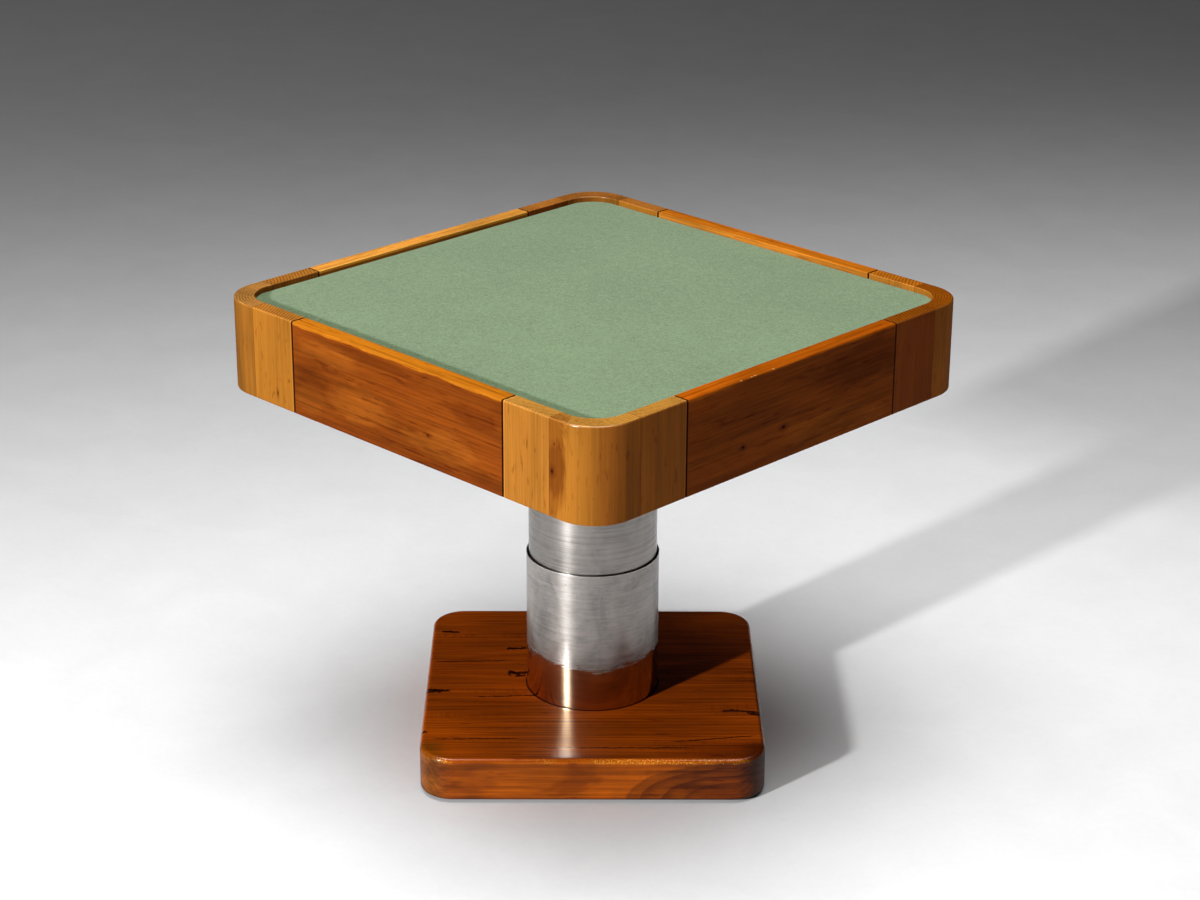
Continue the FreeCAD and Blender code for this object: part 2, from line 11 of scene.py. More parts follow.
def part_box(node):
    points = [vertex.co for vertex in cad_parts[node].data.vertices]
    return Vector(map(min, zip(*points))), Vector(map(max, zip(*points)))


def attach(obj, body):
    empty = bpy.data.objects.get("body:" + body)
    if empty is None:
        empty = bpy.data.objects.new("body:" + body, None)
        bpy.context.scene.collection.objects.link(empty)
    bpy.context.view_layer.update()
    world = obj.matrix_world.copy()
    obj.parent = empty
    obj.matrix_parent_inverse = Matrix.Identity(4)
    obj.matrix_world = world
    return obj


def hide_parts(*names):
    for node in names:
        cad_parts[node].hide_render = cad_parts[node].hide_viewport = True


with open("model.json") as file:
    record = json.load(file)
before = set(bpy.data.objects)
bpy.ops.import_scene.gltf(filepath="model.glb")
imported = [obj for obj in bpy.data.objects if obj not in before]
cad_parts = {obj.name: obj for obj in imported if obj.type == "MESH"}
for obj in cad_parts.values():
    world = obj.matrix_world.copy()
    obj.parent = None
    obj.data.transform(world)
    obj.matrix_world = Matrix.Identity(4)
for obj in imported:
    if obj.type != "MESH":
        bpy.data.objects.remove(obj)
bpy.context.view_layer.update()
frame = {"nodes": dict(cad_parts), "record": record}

bl_info = {
    "name": "Adjustable Game Table",
    "version": (1, 0, 0),
    "blender": (4, 5, 0),
    "location": "3D View > Sidebar > Game Table",
    "description": "Dresses the packed game table in its cloth, wood and steel",
    "category": "Object",
}

MM = 0.001
DIAGONAL = math.sqrt(0.5)
SIDES = ("front", "right", "back", "left")
CORNERS = ("front_right", "back_right", "back_left", "front_left")

# Places on the table that its marks are measured from, in metres from the column's axis or from the floor
RIM_FACE = 0.42
RIM_WALL = 0.392
RIM_TOP = 0.756
PANEL_END = 0.233
STAVE_START = 0.235
GLUE_LINE = 0.329
COLUMN_RADIUS = 0.1085
POLISH_TOP = 0.148
PLINTH_HALF = 0.275
PLINTH_TOP = 0.078


# Colours


def paint(red, green, blue):
    """A colour given in display values of 0 to 255, as the linear values that sockets take."""
    linear = []
    for value in (red, green, blue):
        share = value / 255
        if share <= 0.04045:
            linear.append(share / 12.92)
        else:
            linear.append(((share + 0.055) / 1.055) ** 2.4)
    return tuple(linear)


# What marks multiply the wood by, and the two colours of worn and chipped edges
PALE = (1.28, 1.5, 1.7)
DEEP = (0.62, 0.52, 0.45)
PORE = (0.66, 0.54, 0.46)
KNOT_HEART = (0.16, 0.1, 0.06)
SPLIT = (0.05, 0.025, 0.015)
OPEN_JOINT = (0.16, 0.1, 0.07)
GLUE = (0.62, 0.48, 0.38)
WORN_GOLD = paint(206, 144, 66)
CHIPPED = paint(206, 148, 84)


# Node trees


class Value:
    """A socket of a node tree. Each operator on it adds a Math node."""

    def __init__(self, tree, socket):
        self.tree = tree
        self.socket = socket

    def math(self, operation, *inputs):
        made = self.tree.nodes.new("ShaderNodeMath")
        made.operation = operation
        for slot, given in zip(made.inputs, inputs):
            if isinstance(given, Value):
                self.tree.links.new(given.socket, slot)
            else:
                slot.default_value = given
        return Value(self.tree, made.outputs[0])

    def __add__(self, other):
        return self.math("ADD", self, other)

    def __radd__(self, other):
        return self.math("ADD", other, self)

    def __sub__(self, other):
        return self.math("SUBTRACT", self, other)

    def __rsub__(self, other):
        return self.math("SUBTRACT", other, self)

    def __mul__(self, other):
        return self.math("MULTIPLY", self, other)

    def __rmul__(self, other):
        return self.math("MULTIPLY", other, self)

    def __truediv__(self, other):
        return self.math("DIVIDE", self, other)

    def __rtruediv__(self, other):
        return self.math("DIVIDE", other, self)

    def __abs__(self):
        return self.math("ABSOLUTE", self)

    def fraction(self):
        return self.math("FRACT", self)

    def root(self):
        return self.math("SQRT", self)

    def above(self, other):
        return self.math("GREATER_THAN", self, other)

    def most(self, other):
        return self.math("MAXIMUM", self, other)

    def least(self, other):
        return self.math("MINIMUM", self, other)


class Tree:
    """A node tree, and the one way in which nodes are added to it."""

    def __init__(self, tree):
        self.tree = tree
        tree.nodes.clear()

    def node(self, kind, settings=None, sockets=None):
        """Adds a node: its settings first, then the values or links of its sockets."""
        made = self.tree.nodes.new(kind)
        for key, value in (settings or {}).items():
            if key == "stops":
                self.set_stops(made.color_ramp, value)
            else:
                setattr(made, key, value)
        for key, value in (sockets or {}).items():
            for given in value if isinstance(value, list) else [value]:
                self.feed(made.inputs[key], given)
        return made

    def feed(self, slot, value):
        """Links a socket, or sets its value."""
        if isinstance(value, Value):
            self.tree.links.new(value.socket, slot)
        elif isinstance(value, bpy.types.NodeSocket):
            self.tree.links.new(value, slot)
        elif slot.type == "RGBA":
            slot.default_value = (*value[:3], 1)
        else:
            slot.default_value = value

    @staticmethod
    def set_stops(ramp, stops):
        """Gives a colour ramp these stops of place and colour."""
        while len(ramp.elements) > 1:
            ramp.elements.remove(ramp.elements[-1])
        ramp.elements[0].position = stops[0][0]
        ramp.elements[0].color = (*stops[0][1], 1)
        for place, colour in stops[1:]:
            ramp.elements.new(place).color = (*colour, 1)

    def number(self, socket):
        return Value(self.tree, socket)


class Finish(Tree):
    """One material: its coordinates, its colour so far, and the ways to work on them."""

    def __init__(self, name):
        self.material = bpy.data.materials.new(name)
        self.material.use_nodes = True
        super().__init__(self.material.node_tree)
        places = self.node("ShaderNodeTexCoord")
        self.position = places.outputs["Object"]
        self.place = self.split(self.position)
        self.facing = self.split(places.outputs["Normal"])
        self.x, self.y, self.z = self.place
        self.facing_x, self.facing_y, self.facing_z = self.facing
        self.colour = None

    def split(self, vector):
        made = self.node("ShaderNodeSeparateXYZ", {}, {"Vector": vector})
        return [self.number(made.outputs[i]) for i in range(3)]

    def join(self, x, y, z):
        return self.node("ShaderNodeCombineXYZ", {}, {"X": x, "Y": y, "Z": z}).outputs[0]

    def vector(self, operation, first, second):
        made = self.node("ShaderNodeVectorMath", {"operation": operation}, {0: first, 1: second})
        return made.outputs[0]

    def length(self, vector):
        made = self.node("ShaderNodeVectorMath", {"operation": "LENGTH"}, {0: vector})
        return self.number(made.outputs["Value"])

    def mapped(self, vector, scale=(1, 1, 1), turn=(0, 0, 0), shift=(0, 0, 0)):
        sockets = {"Vector": vector, "Scale": scale, "Rotation": turn, "Location": shift}
        return self.node("ShaderNodeMapping", {}, sockets).outputs[0]

    def noise(self, scale, detail=2, roughness=0.5, distortion=0, shift=(0, 0, 0), space=None):
        """Noise about 0, as fine as its scale along each axis, on Object coordinates or another space."""
        scales = scale if isinstance(scale, tuple) else (scale, scale, scale)
        sockets = {
            "Vector": self.mapped(space or self.position, scale=scales, shift=shift),
            "Scale": 1,
            "Detail": detail,
            "Roughness": roughness,
            "Distortion": distortion,
        }
        return self.number(self.node("ShaderNodeTexNoise", {}, sockets).outputs[0]) - 0.5

    def rise(self, value, low, high):
        """A smooth step from 0 at low to 1 at high. Low may be the larger."""
        settings = {"interpolation_type": "SMOOTHSTEP"}
        sockets = {"Value": value, "From Min": low, "From Max": high}
        return self.number(self.node("ShaderNodeMapRange", settings, sockets).outputs[0])

    def blend(self, factor, first, second, mode="MIX"):
        """Mixes two colours by a factor."""
        settings = {"data_type": "RGBA", "blend_type": mode, "clamp_factor": True}
        return self.node("ShaderNodeMix", settings, {0: factor, 6: first, 7: second}).outputs[2]

    def tint(self, mask, colour):
        """Multiplies the colour so far where the mask is 1."""
        self.colour = self.blend(mask, self.colour, colour, "MULTIPLY")

    def cover(self, mask, colour):
        """Paints over the colour so far where the mask is 1."""
        self.colour = self.blend(mask, self.colour, colour)

    def ramp(self, value, stops):
        """A colour ramp, read at half past a value about 0."""
        return self.node("ShaderNodeValToRGB", {"stops": stops}, {"Fac": value + 0.5}).outputs[0]

    def tones(self, value, middle, dark, light, spread):
        """A middle tone and its darker and lighter shares, over a value of -spread to spread."""
        base = Vector(middle)
        return self.ramp(value, [(0.5 - spread, base * dark), (0.5, base), (0.5 + spread, base * light)])

    def spot(self, place, reach):
        """The distance from a place on the piece, where 1 is the edge of an egg of these three radii."""
        away = self.vector("SUBTRACT", self.position, place)
        return self.length(self.vector("MULTIPLY", away, tuple(1 / r for r in reach)))

    def bump(self, height, depth, strength=0.5):
        sockets = {"Height": height, "Distance": depth, "Strength": strength}
        return self.node("ShaderNodeBump", {}, sockets).outputs[0]

    def shader(self, colour, roughness, others):
        sockets = {"Base Color": colour, "Roughness": roughness, **others}
        return self.node("ShaderNodeBsdfPrincipled", {}, sockets).outputs[0]

    def mix(self, share, first, second):
        """Two shaders, where share is how much of the second shows."""
        return self.node("ShaderNodeMixShader", {}, {0: share, 1: first, 2: second}).outputs[0]

    def end(self, surface):
        """Links the surface to the material's output, and returns the material."""
        self.node("ShaderNodeOutputMaterial", {}, {"Surface": surface})
        return self.material


# Wood

GRAIN_TURNS = {
    "x": (0, 0, 0),
    "y": (0, 0, -math.pi / 2),
    "z": (0, math.pi / 2, 0),
    "diagonal": (0, 0, -math.pi / 4),
}


class Wood(Finish):
    """A varnished wood: grain, rings, pores and marks in three dimensions, so that ends and faces agree."""

    def __init__(self, name, grain, middle, dark, light, folded=False):
        super().__init__(name)
        self.shades = (middle, dark, light)
        self.relief = []
        self.opening = 0.0
        turn = GRAIN_TURNS[grain]
        ring_place = self.join(abs(self.x), abs(self.y), self.z) if folded else self.position
        self.space = self.mapped(self.position, turn=turn)
        self.ring_space = self.mapped(ring_place, turn=turn)
        self.grain_way = Euler(turn).to_matrix().transposed() @ Vector((1, 0, 0))

    def stretched(self, along, across, detail=2, roughness=0.5, distortion=0, shift=0.0):
        """Noise about 0, drawn out along the grain."""
        moved = (shift, shift * 0.7, -shift)
        return self.noise((along, across, across), detail, roughness, distortion, moved, self.space)

    def figure(self, fibre=0.5, streak=0.5, patch=0.5, drift=0.0, shift=0.0, finest=240):
        """The base colour: fine fibres, broader streaks and cloudy patches."""
        fibres = self.stretched(5, finest, 4, 0.62, shift=shift)
        streaks = self.stretched(1.7, 42, 3, 0.55, 0.4, shift=shift + 3)
        patches = self.stretched(3.2, 9, 2, 0.5, 0.8, shift=shift + 7)
        tone = fibres * (1.9 * fibre) + streaks * (2.0 * streak) + patches * (2.2 * patch) + drift
        self.relief.append(fibres * 0.6)
        self.colour = self.tones(tone, *self.shades, 0.38)

    def rings(self, pith, gap, strength, tint, wander=0.012):
        """Annual rings about a pith line that runs along the grain. Returns where their late wood is."""
        _, across, up = self.split(self.ring_space)
        away_across = across - pith[0]
        away_up = up - pith[1]
        radius = (away_across * away_across + away_up * away_up).root()
        drift = self.stretched(1.3, 7, 3, 0.5, shift=11)
        phase = ((radius + drift * wander) / gap).fraction()
        late = self.rise(phase, 0.3, 0.92) * self.rise(phase, 1.0, 0.94)
        self.tint(late * strength, tint)
        self.relief.append(late * 0.25)
        return late

    def pores(self, along, across, share, tint):
        """Short dark pores along the grain."""
        pore = self.rise(self.stretched(along, across, 1), 0.5 - share, 0.56 - share)
        self.tint(pore, tint)
        self.relief.append(pore * -0.8)

    def cloud(self, place, reach, tint, strength=1.0, ragged=1.7):
        """A soft patch of another tone."""
        broken = self.stretched(9, 30, 4, 0.68, 0.6, shift=9) * ragged
        away = self.spot(place, reach) + broken
        self.tint(self.rise(away, 1.05, 0.62) * strength, tint)

    def knot(self, place, size, tint, stretch, strength=1.0):
        """A small knot: a dark heart in a softer stain that is drawn out along the grain."""
        radii = [size * stretch if abs(way) > 0.5 else size for way in self.grain_way]
        away = self.spot(place, radii) + self.stretched(90, 150, 2, shift=5) * 1.1
        self.tint(self.rise(away, 3.2, 0.6) * (0.75 * strength), tint)
        self.tint(self.rise(away, 1.0, 0.35) * strength, KNOT_HEART)
        self.relief.append(self.rise(away, 1.1, 0.4) * -0.8)

    def crack(self, start, end, width):
        """A short dark ragged split between two points."""
        middle = (start + end) / 2
        run = (end - start).length / 2
        heading = math.atan2(end.y - start.y, end.x - start.x)
        away = self.vector("SUBTRACT", self.position, middle)
        along, across, up = self.split(self.mapped(away, turn=(0, 0, -heading)))
        shaky = self.stretched(60, 60, 3, 0.6, shift=run * 900) * (width * 3.4)
        off = abs(across + shaky) / width + self.stretched(160, 160, 2, 0.6, shift=run * 500) * 1.4
        reach = self.rise(abs(along) / run, 1.0, 0.7)
        level = self.rise(abs(up), 14 * MM, 10 * MM)
        mask = self.rise(off, 1.0, 0.45) * reach * level
        self.tint(mask * 0.95, SPLIT)
        self.relief.append(mask * -2.0)

    def glue_line(self, distance, half):
        """A thin dark line where two pieces of a corner meet."""
        nearest = abs(abs(self.x) - distance).least(abs(abs(self.y) - distance))
        self.tint(self.rise(nearest, half * 2, half), GLUE)

    def joint(self, across, start, full):
        """Darkens the wood next to an open joint, between two distances from the middle of a side."""
        self.opening = self.rise(across, start, full)
        self.tint(self.opening, OPEN_JOINT)

    def surface(self, roughness, gloss, coat, coat_roughness, depth=0.12 * MM, edge_coat=0.0):
        """The shader. Gloss is the wood's own specular level, coat its varnish, edge_coat more on edges."""
        if edge_coat:
            rounding = self.rise(self.facing_z, 0.08, 0.3) * self.rise(self.facing_z, 0.98, 0.85)
            coat = rounding * edge_coat * (1.0 - self.opening) + coat
        height = sum(self.relief[1:], self.relief[0])
        varnish = {
            "IOR": 1.5,
            "Specular IOR Level": gloss,
            "Coat Weight": coat,
            "Coat Roughness": coat_roughness,
            "Normal": self.bump(height, depth),
        }
        return self.shader(self.colour, roughness + self.stretched(5, 240, 2) * 0.16, varnish)

    def varnish(self, *values):
        """Ends the material with one shader."""
        return self.end(self.surface(*values))


# Each drawer front: how far its grain is shifted, where its pith is, and what its top and its inner wall are
# multiplied by.
# The top is lighter partly in its own tone and partly as painted light from above; the wall's tint is a
# painted highlight on its rounded upper edge
PANELS = {
    "front": {"shift": 0, "pith": (-0.55, 0.52), "top": (2.35, 3.4, 2.1), "wall": (2.35, 3.4, 2.1)},
    "right": {"shift": 23, "pith": (0.47, 0.9), "top": (1.8, 1.8, 0.8), "wall": (1.8, 1.8, 0.8)},
    "back": {"shift": 47, "pith": (0.49, 0.86), "top": (2.5, 3.2, 2.1), "wall": (2.6, 4.2, 5.8)},
    "left": {"shift": 71, "pith": (-0.5, 0.55), "top": (3.3, 6.4, 12.5), "wall": (4.0, 7.0, 10.0)},
}
# Its clouds: place along the front and height, half length and half height, all in mm, then tone and strength
PANEL_CLOUDS = {
    "front": (
        (-80, 663, 75, 36, PALE, 1.0),
        (105, 646, 80, 26, PALE, 1.0),
        (-196, 636, 40, 24, PALE, 0.7),
        (-150, 722, 85, 22, PALE, 1.0),
        (-68, 739.5, 110, 9, DEEP, 0.6),
        (-187, 676, 45, 20, DEEP, 0.35),
        (175, 712, 60, 16, DEEP, 0.7),
        (0, 612, 240, 18, DEEP, 0.45),
    ),
    "right": (
        (80, 632, 120, 30, PALE, 0.6),
        (150, 715, 120, 40, DEEP, 0.7),
    ),
    "back": ((-50, 672, 140, 30, PALE, 0.8),),
    "left": ((40, 655, 130, 30, PALE, 0.7),),
}
# Its knots: place along the front, height and size in mm, what they multiply by, stretch and strength
PANEL_KNOTS = {
    "front": ((74.2, 656, 3.0, (0.7, 0.55, 0.45), 1.6, 0.7),),
    "right": (
        (-113, 650, 2.6, (0.5, 0.4, 0.34), 1.5, 1.0),
        (-24, 657, 3.4, (0.5, 0.4, 0.34), 1.5, 1.0),
    ),
    "back": ((-142, 690, 3.0, (0.6, 0.45, 0.36), 1.7, 1.0),),
    "left": ((118, 630, 2.8, (0.6, 0.45, 0.36), 1.7, 1.0),),
}
# Where the varnish is chipped along the top edge of the right front: place along it and height, in mm
PANEL_CHIPS = ((-119, 755.5), (-98, 755.5), (-89, 755.8), (-50, 755.5))


def on_side(side, along, across, height):
    """A place or a reach along a side of the top, across it and up. All are given in mm."""
    if side in ("front", "back"):
        return (along * MM, across * MM, height * MM)
    return (across * MM, along * MM, height * MM)


def panel_wood(side, settings):
    """The reddish boards of the drawer fronts, with the marks that each one has, and painted light and shade
    on their tops and inner walls.
    """
    own = PANELS[side]
    face = RIM_FACE / MM if side in ("right", "back") else -RIM_FACE / MM
    grain = "x" if side in ("front", "back") else "y"
    wood = Wood("walnut_panel_" + side, grain, settings.panel_colour, 0.55, 1.5)
    wood.figure(fibre=0.6, streak=0.22, patch=0.42, shift=own["shift"], finest=190)
    mottle = wood.rise(wood.stretched(7, 26, 4, 0.7, 1.2, shift=own["shift"] + 41), -0.02, 0.12)
    wood.tint(mottle * 0.4, (0.74, 0.64, 0.56))
    wood.rings(own["pith"], 9 * MM, 0.12, (0.55, 0.42, 0.35), wander=0.03)
    wood.pores(26, 430, 0.31, PORE)
    wood.pores(20, 170, 0.34, (0.76, 0.66, 0.58))
    for along, height, half_length, half_height, tone, strength in PANEL_CLOUDS[side]:
        reach = on_side(side, half_length, 50, half_height)
        wood.cloud(on_side(side, along, face, height), reach, tone, strength)
    for along, height, size, tone, stretch, strength in PANEL_KNOTS[side]:
        wood.knot(on_side(side, along, face, height), size * MM, tone, stretch, strength)

    reach = abs(wood.x).most(abs(wood.y))
    ragged = wood.stretched(9, 60, 4, 0.65, shift=13) * (16 * MM)
    # Painted light: the top and a ragged band just under its edge are lightened, partly the wood's own tone,
    # partly light from above; the inner wall is lightened as a painted highlight
    wall = wood.rise(wood.facing_z, 0.9, 0.5) * wood.rise(reach, RIM_WALL + 8 * MM, RIM_WALL + 4 * MM)
    upper = wood.rise(wood.z + ragged, RIM_TOP - 5.5 * MM, RIM_TOP - 2.5 * MM)
    top = upper.most(wood.rise(wood.facing_z, 0.5, 0.9)).most(wall)
    wood.tint(top * (1.0 - wall), own["top"])
    wood.tint(wall, own["wall"])
    # Painted shade: the lower part of the left front's inner wall, which faces away from the lamp, is
    # darkened
    if side == "left":
        wood.tint(wall * wood.rise(wood.z, RIM_TOP - 3.5 * MM, RIM_TOP - 5.5 * MM), (0.4, 0.32, 0.26))
    wood.joint(abs(wood.x).least(abs(wood.y)), PANEL_END - 1.2 * MM, PANEL_END - 0.4 * MM)
    if side == "right":
        for along, height in PANEL_CHIPS:
            place = on_side(side, along, face - 0.5, height)
            away = wood.spot(place, (2.2 * MM, 3.4 * MM, 1.6 * MM)) + wood.stretched(300, 500, 2) * 2.4
            wood.cover(wood.rise(away, 0.9, 0.5) * 0.7, CHIPPED)
    return wood.varnish(0.42, 0.0, 0.06, 0.2, 0.12 * MM, 0.5)


# The signs of x and y at the three darker corners, and what the tops of block and staves are multiplied by
CORNER_TOP_TINTS = (
    (-1, -1, (1.0, 0.98, 1.3), (0.85, 0.7, 0.6)),
    (-1, 1, (0.78, 0.6, 0.6), (0.86, 0.66, 0.62)),
    (1, 1, (0.52, 0.29, 0.08), (0.85, 0.55, 0.2)),
)


def block_wood(settings):
    """The curved corner blocks, with the dark streak and knots of the near one."""
    wood = Wood("walnut_corner_block", "z", settings.corner_colour, 0.62, 1.3, folded=True)
    wood.figure(fibre=0.6, streak=0.12, patch=0.6, finest=220)
    late = wood.rings((0.345, -0.338), 4.6 * MM, 0.1, (0.6, 0.48, 0.38), wander=0.008)
    corner_pores(wood)
    wood.cloud((0.330, -RIM_FACE, 0.700), (0.036, 0.06, 0.090), (0.64, 0.52, 0.44), 0.85, 3.0)
    wood.cloud((0.336, -RIM_FACE, 0.684), (0.026, 0.06, 0.040), (0.62, 0.5, 0.42), 0.8, 3.0)
    wood.knot((0.3345, -RIM_FACE, 0.676), 3.4 * MM, (0.55, 0.4, 0.32), 1.5)
    wood.knot((0.3390, -RIM_FACE, 0.7186), 2.0 * MM, (0.7, 0.55, 0.45), 1.5, 0.6)
    glue_line_and_shaded_right_faces(wood)
    wood.tint(wood.rise(wood.facing_y, -0.5, -0.95) * (wood.x * -1.0).above(0.0), (0.9, 0.9, 1.0))
    corner_tops(wood, late, settings.end_tint, 0)
    return wood.varnish(0.4, 0.0, 0.07, 0.22, 0.12 * MM, 1.0)


def stave_wood(settings):
    """The straight staves beside the corner blocks, with the knots of the left one."""
    wood = Wood("walnut_corner_stave", "z", settings.corner_colour, 0.62, 1.3, folded=True)
    darker = abs(wood.x).above(abs(wood.y)) * -0.10
    wood.figure(fibre=0.5, streak=0.12, patch=0.5, drift=darker + 0.14, shift=31, finest=220)
    late = wood.rings((0.56, -0.56), 5.4 * MM, 0.12, (0.62, 0.48, 0.38), wander=0.01)
    corner_pores(wood)
    wood.knot((-0.2741, -RIM_FACE, 0.6283), 1.6 * MM, (0.6, 0.45, 0.35), 3.2)
    wood.knot((-0.2457, -RIM_FACE, 0.6558), 1.5 * MM, (0.65, 0.5, 0.4), 1.4, 0.8)
    wood.knot((-0.2841, -RIM_FACE, 0.6256), 1.1 * MM, (0.65, 0.5, 0.4), 1.6, 0.8)
    glue_line_and_shaded_right_faces(wood)
    wood.tint(wood.rise(wood.facing_x, 0.5, 0.95) * wood.y.above(0.0), (0.78, 0.56, 0.55))
    wood.tint(wood.rise(wood.facing_y, -0.5, -0.95) * wood.x.above(0.0), (1.1, 1.12, 1.3))
    end = corner_tops(wood, late, settings.end_tint, 1)
    on_right = wood.x.above(0.0) * wood.y.above(0.0) * (wood.x - wood.y).above(0.0)
    wood.tint(end * on_right, (0.6, 0.52, 0.5))
    across = abs(wood.x).least(abs(wood.y))
    # Painted highlight: the stave's rounded edge beside each joint is lightened
    wood.tint(wood.rise(across, STAVE_START + 3.8 * MM, STAVE_START + 2.8 * MM), (1.25, 1.32, 1.6))
    wood.joint(across, STAVE_START + 1.4 * MM, STAVE_START + 0.6 * MM)
    return wood.varnish(0.4, 0.0, 0.07, 0.22, 0.12 * MM, 1.0)


def corner_pores(wood):
    """The two sizes of pores that blocks and staves share."""
    wood.pores(26, 430, 0.3, (0.72, 0.6, 0.5))
    wood.pores(40, 170, 0.33, (0.78, 0.68, 0.58))


def glue_line_and_shaded_right_faces(wood):
    """The dark glue line, and painted shade: a darker, redder tone on the faces that look to the right, away
    from the lamp.
    """
    wood.glue_line(GLUE_LINE, 0.45 * MM)
    wood.tint(wood.rise(wood.facing_x, 0.5, 0.95), (0.78, 0.64, 0.7))


def corner_tops(wood, late, end_tint, kind):
    """End grain on top in each corner's tone, lighter partly as end grain and partly as painted light from
    above, and a painted highlight on the rounded edges that face the lamp. Returns where the end grain is.

    Kind is 0 for the blocks and 1 for the staves.
    """
    end = wood.rise(wood.facing_z, 0.5, 0.95)
    wood.tint(end, end_tint)
    wood.tint(end * late * 0.9, (0.55, 0.42, 0.34))
    wood.tint(end, (1.12, 1.16, 1.2))
    for right, back, *tints in CORNER_TOP_TINTS:
        here = (wood.x * right).above(0.0) * (wood.y * back).above(0.0)
        wood.tint(end * here, tints[kind])
    # Painted highlight: rounded edges that face the lamp are lightened
    rounding = wood.rise(wood.facing_z, 0.1, 0.35) * wood.rise(wood.facing_z, 0.98, 0.85)
    wood.tint(rounding * wood.rise(wood.facing_y, 0.1, -0.3), (1.3, 1.35, 1.6))
    return end


# Start and end of each split in the plinth's top, along the grain and towards the front in mm, and its width
PLINTH_SPLITS = (
    ((-285, 44), (-232, 35), 5.5),
    ((-285, 30), (-250, 38), 5.0),
    ((-143, -22), (-106, -34), 6.5),
    ((-142, -36), (-120, -20), 5.0),
    ((-130, -16), (-110, -20), 4.0),
    ((-148, -118), (-110, -121), 5.0),
    ((-262, -186), (-226, -184), 4.0),
    ((206, 106), (285, 114), 5.0),
    ((250, 116), (285, 124), 5.0),
    ((-285, 190), (-266, 179), 5.5),
    ((-276, -69), (-130, -75), 2.2),
    ((-262, 206), (-110, 204), 2.0),
    ((-100, 236), (170, 234), 2.0),
    ((120, 216), (268, 192), 2.0),
    ((-200, 60), (-60, 52), 2.2),
)


def plinth_point(along, front):
    """A point on the plinth's top, from its places along the grain and towards the front, in mm."""
    return Vector(((along + front) * DIAGONAL * MM, (along - front) * DIAGONAL * MM, PLINTH_TOP))


def plinth_wood(settings):
    """The dark, glossy plinth, with splits in its top, a swirl in its front, worn edges with a painted
    highlight, and painted shade round the column's foot and along its bottom.
    """
    wood = Wood("plinth_wood", "diagonal", settings.plinth_colour, 0.45, 1.65)
    along, across, up = wood.split(wood.space)
    front = across * -1.0
    wood.figure(fibre=0.62, streak=0.4, patch=0.38, shift=5, finest=220)
    wood.rings((0.05, -0.14), 6.5 * MM, 0.34, (0.45, 0.33, 0.27), wander=0.035)
    plinth_swirl(wood, along, front, up)
    lines = wood.rise(wood.stretched(1.1, 75, 2, 0.5, 0.3, shift=19), 0.13, 0.2)
    wood.tint(lines * 0.4, (0.45, 0.33, 0.28))
    wood.pores(26, 420, 0.3, PORE)
    wood.pores(16, 110, 0.28, (0.68, 0.55, 0.46))
    rippled = wood.rise(wood.stretched(2.0, 22, 1, shift=27), 0.02, 0.16)
    ripple = wood.noise((120, 26, 26), 2, 0.5, 1.2, space=wood.space)
    wood.tint(rippled * wood.rise(ripple, 0.0, -0.14) * 0.4, (0.6, 0.48, 0.4))
    from_axis = wood.length(wood.join(along, front, 0.0))
    # Painted shade: a dark ring on the plinth round the foot of the column, where the tube stands on it
    column_foot_shade = wood.rise(abs(from_axis - (COLUMN_RADIUS + 0.8 * MM)), 2.2 * MM, 0.8 * MM)
    wood.tint(column_foot_shade, (0.25, 0.2, 0.18))
    for start, end, width in PLINTH_SPLITS:
        wood.crack(plinth_point(*start), plinth_point(*end), width * MM)
    plinth_edges(wood, along, front, up)
    face = wood.rise(wood.facing_z, 0.9, 0.3)
    wood.tint(face, (0.92, 1.1, 1.2))
    blotch = wood.stretched(7, 17, 3, 0.6, 0.3, shift=45)
    wood.tint(wood.rise(blotch, 0.0, 0.14) * face, (0.66, 0.6, 0.55))
    wood.tint(wood.rise(blotch, -0.02, -0.16) * face, (1.35, 1.3, 1.25))
    # Painted shade: the lowest part of the plinth's sides is darkened, for the shadow under it
    wood.tint(wood.rise(up, 12.5 * MM, 7 * MM) * 0.85, (0.2, 0.15, 0.12))
    wood.relief.append(wood.stretched(4, 700, 3, 0.6, shift=33) * 0.2)
    glossy = wood.surface(0.24, 0.4, 0.4, 0.14, 0.04 * MM)
    dull = wood.surface(0.36, 0.08, 0.12, 0.12, 0.08 * MM)
    return wood.end(wood.mix(face, glossy, dull))


def plinth_swirl(wood, along, front, up):
    """Dark curved grain about a point low in the front, with a sharp outer edge."""
    middle = wood.join(along - 0.235, (front - PLINTH_HALF) * 0.4, up + 0.003)
    sway = wood.stretched(12, 30, 3, 0.5, shift=15) * 0.16
    oval = wood.length(wood.vector("MULTIPLY", middle, (1 / 0.18, 1 / 0.05, 1 / 0.075))) + sway
    arc = (oval * 5.5).fraction()
    arcs = wood.rise(arc, 0.3, 0.9) * wood.rise(arc, 1.0, 0.95) * wood.rise(oval, 0.35, 0.6)
    inside = wood.rise(oval, 1.04, 1.0)
    wood.tint(arcs * inside * 0.8, (0.5, 0.42, 0.38))
    wood.tint(inside * wood.rise(oval, 0.2, 0.8), (0.62, 0.62, 0.7))


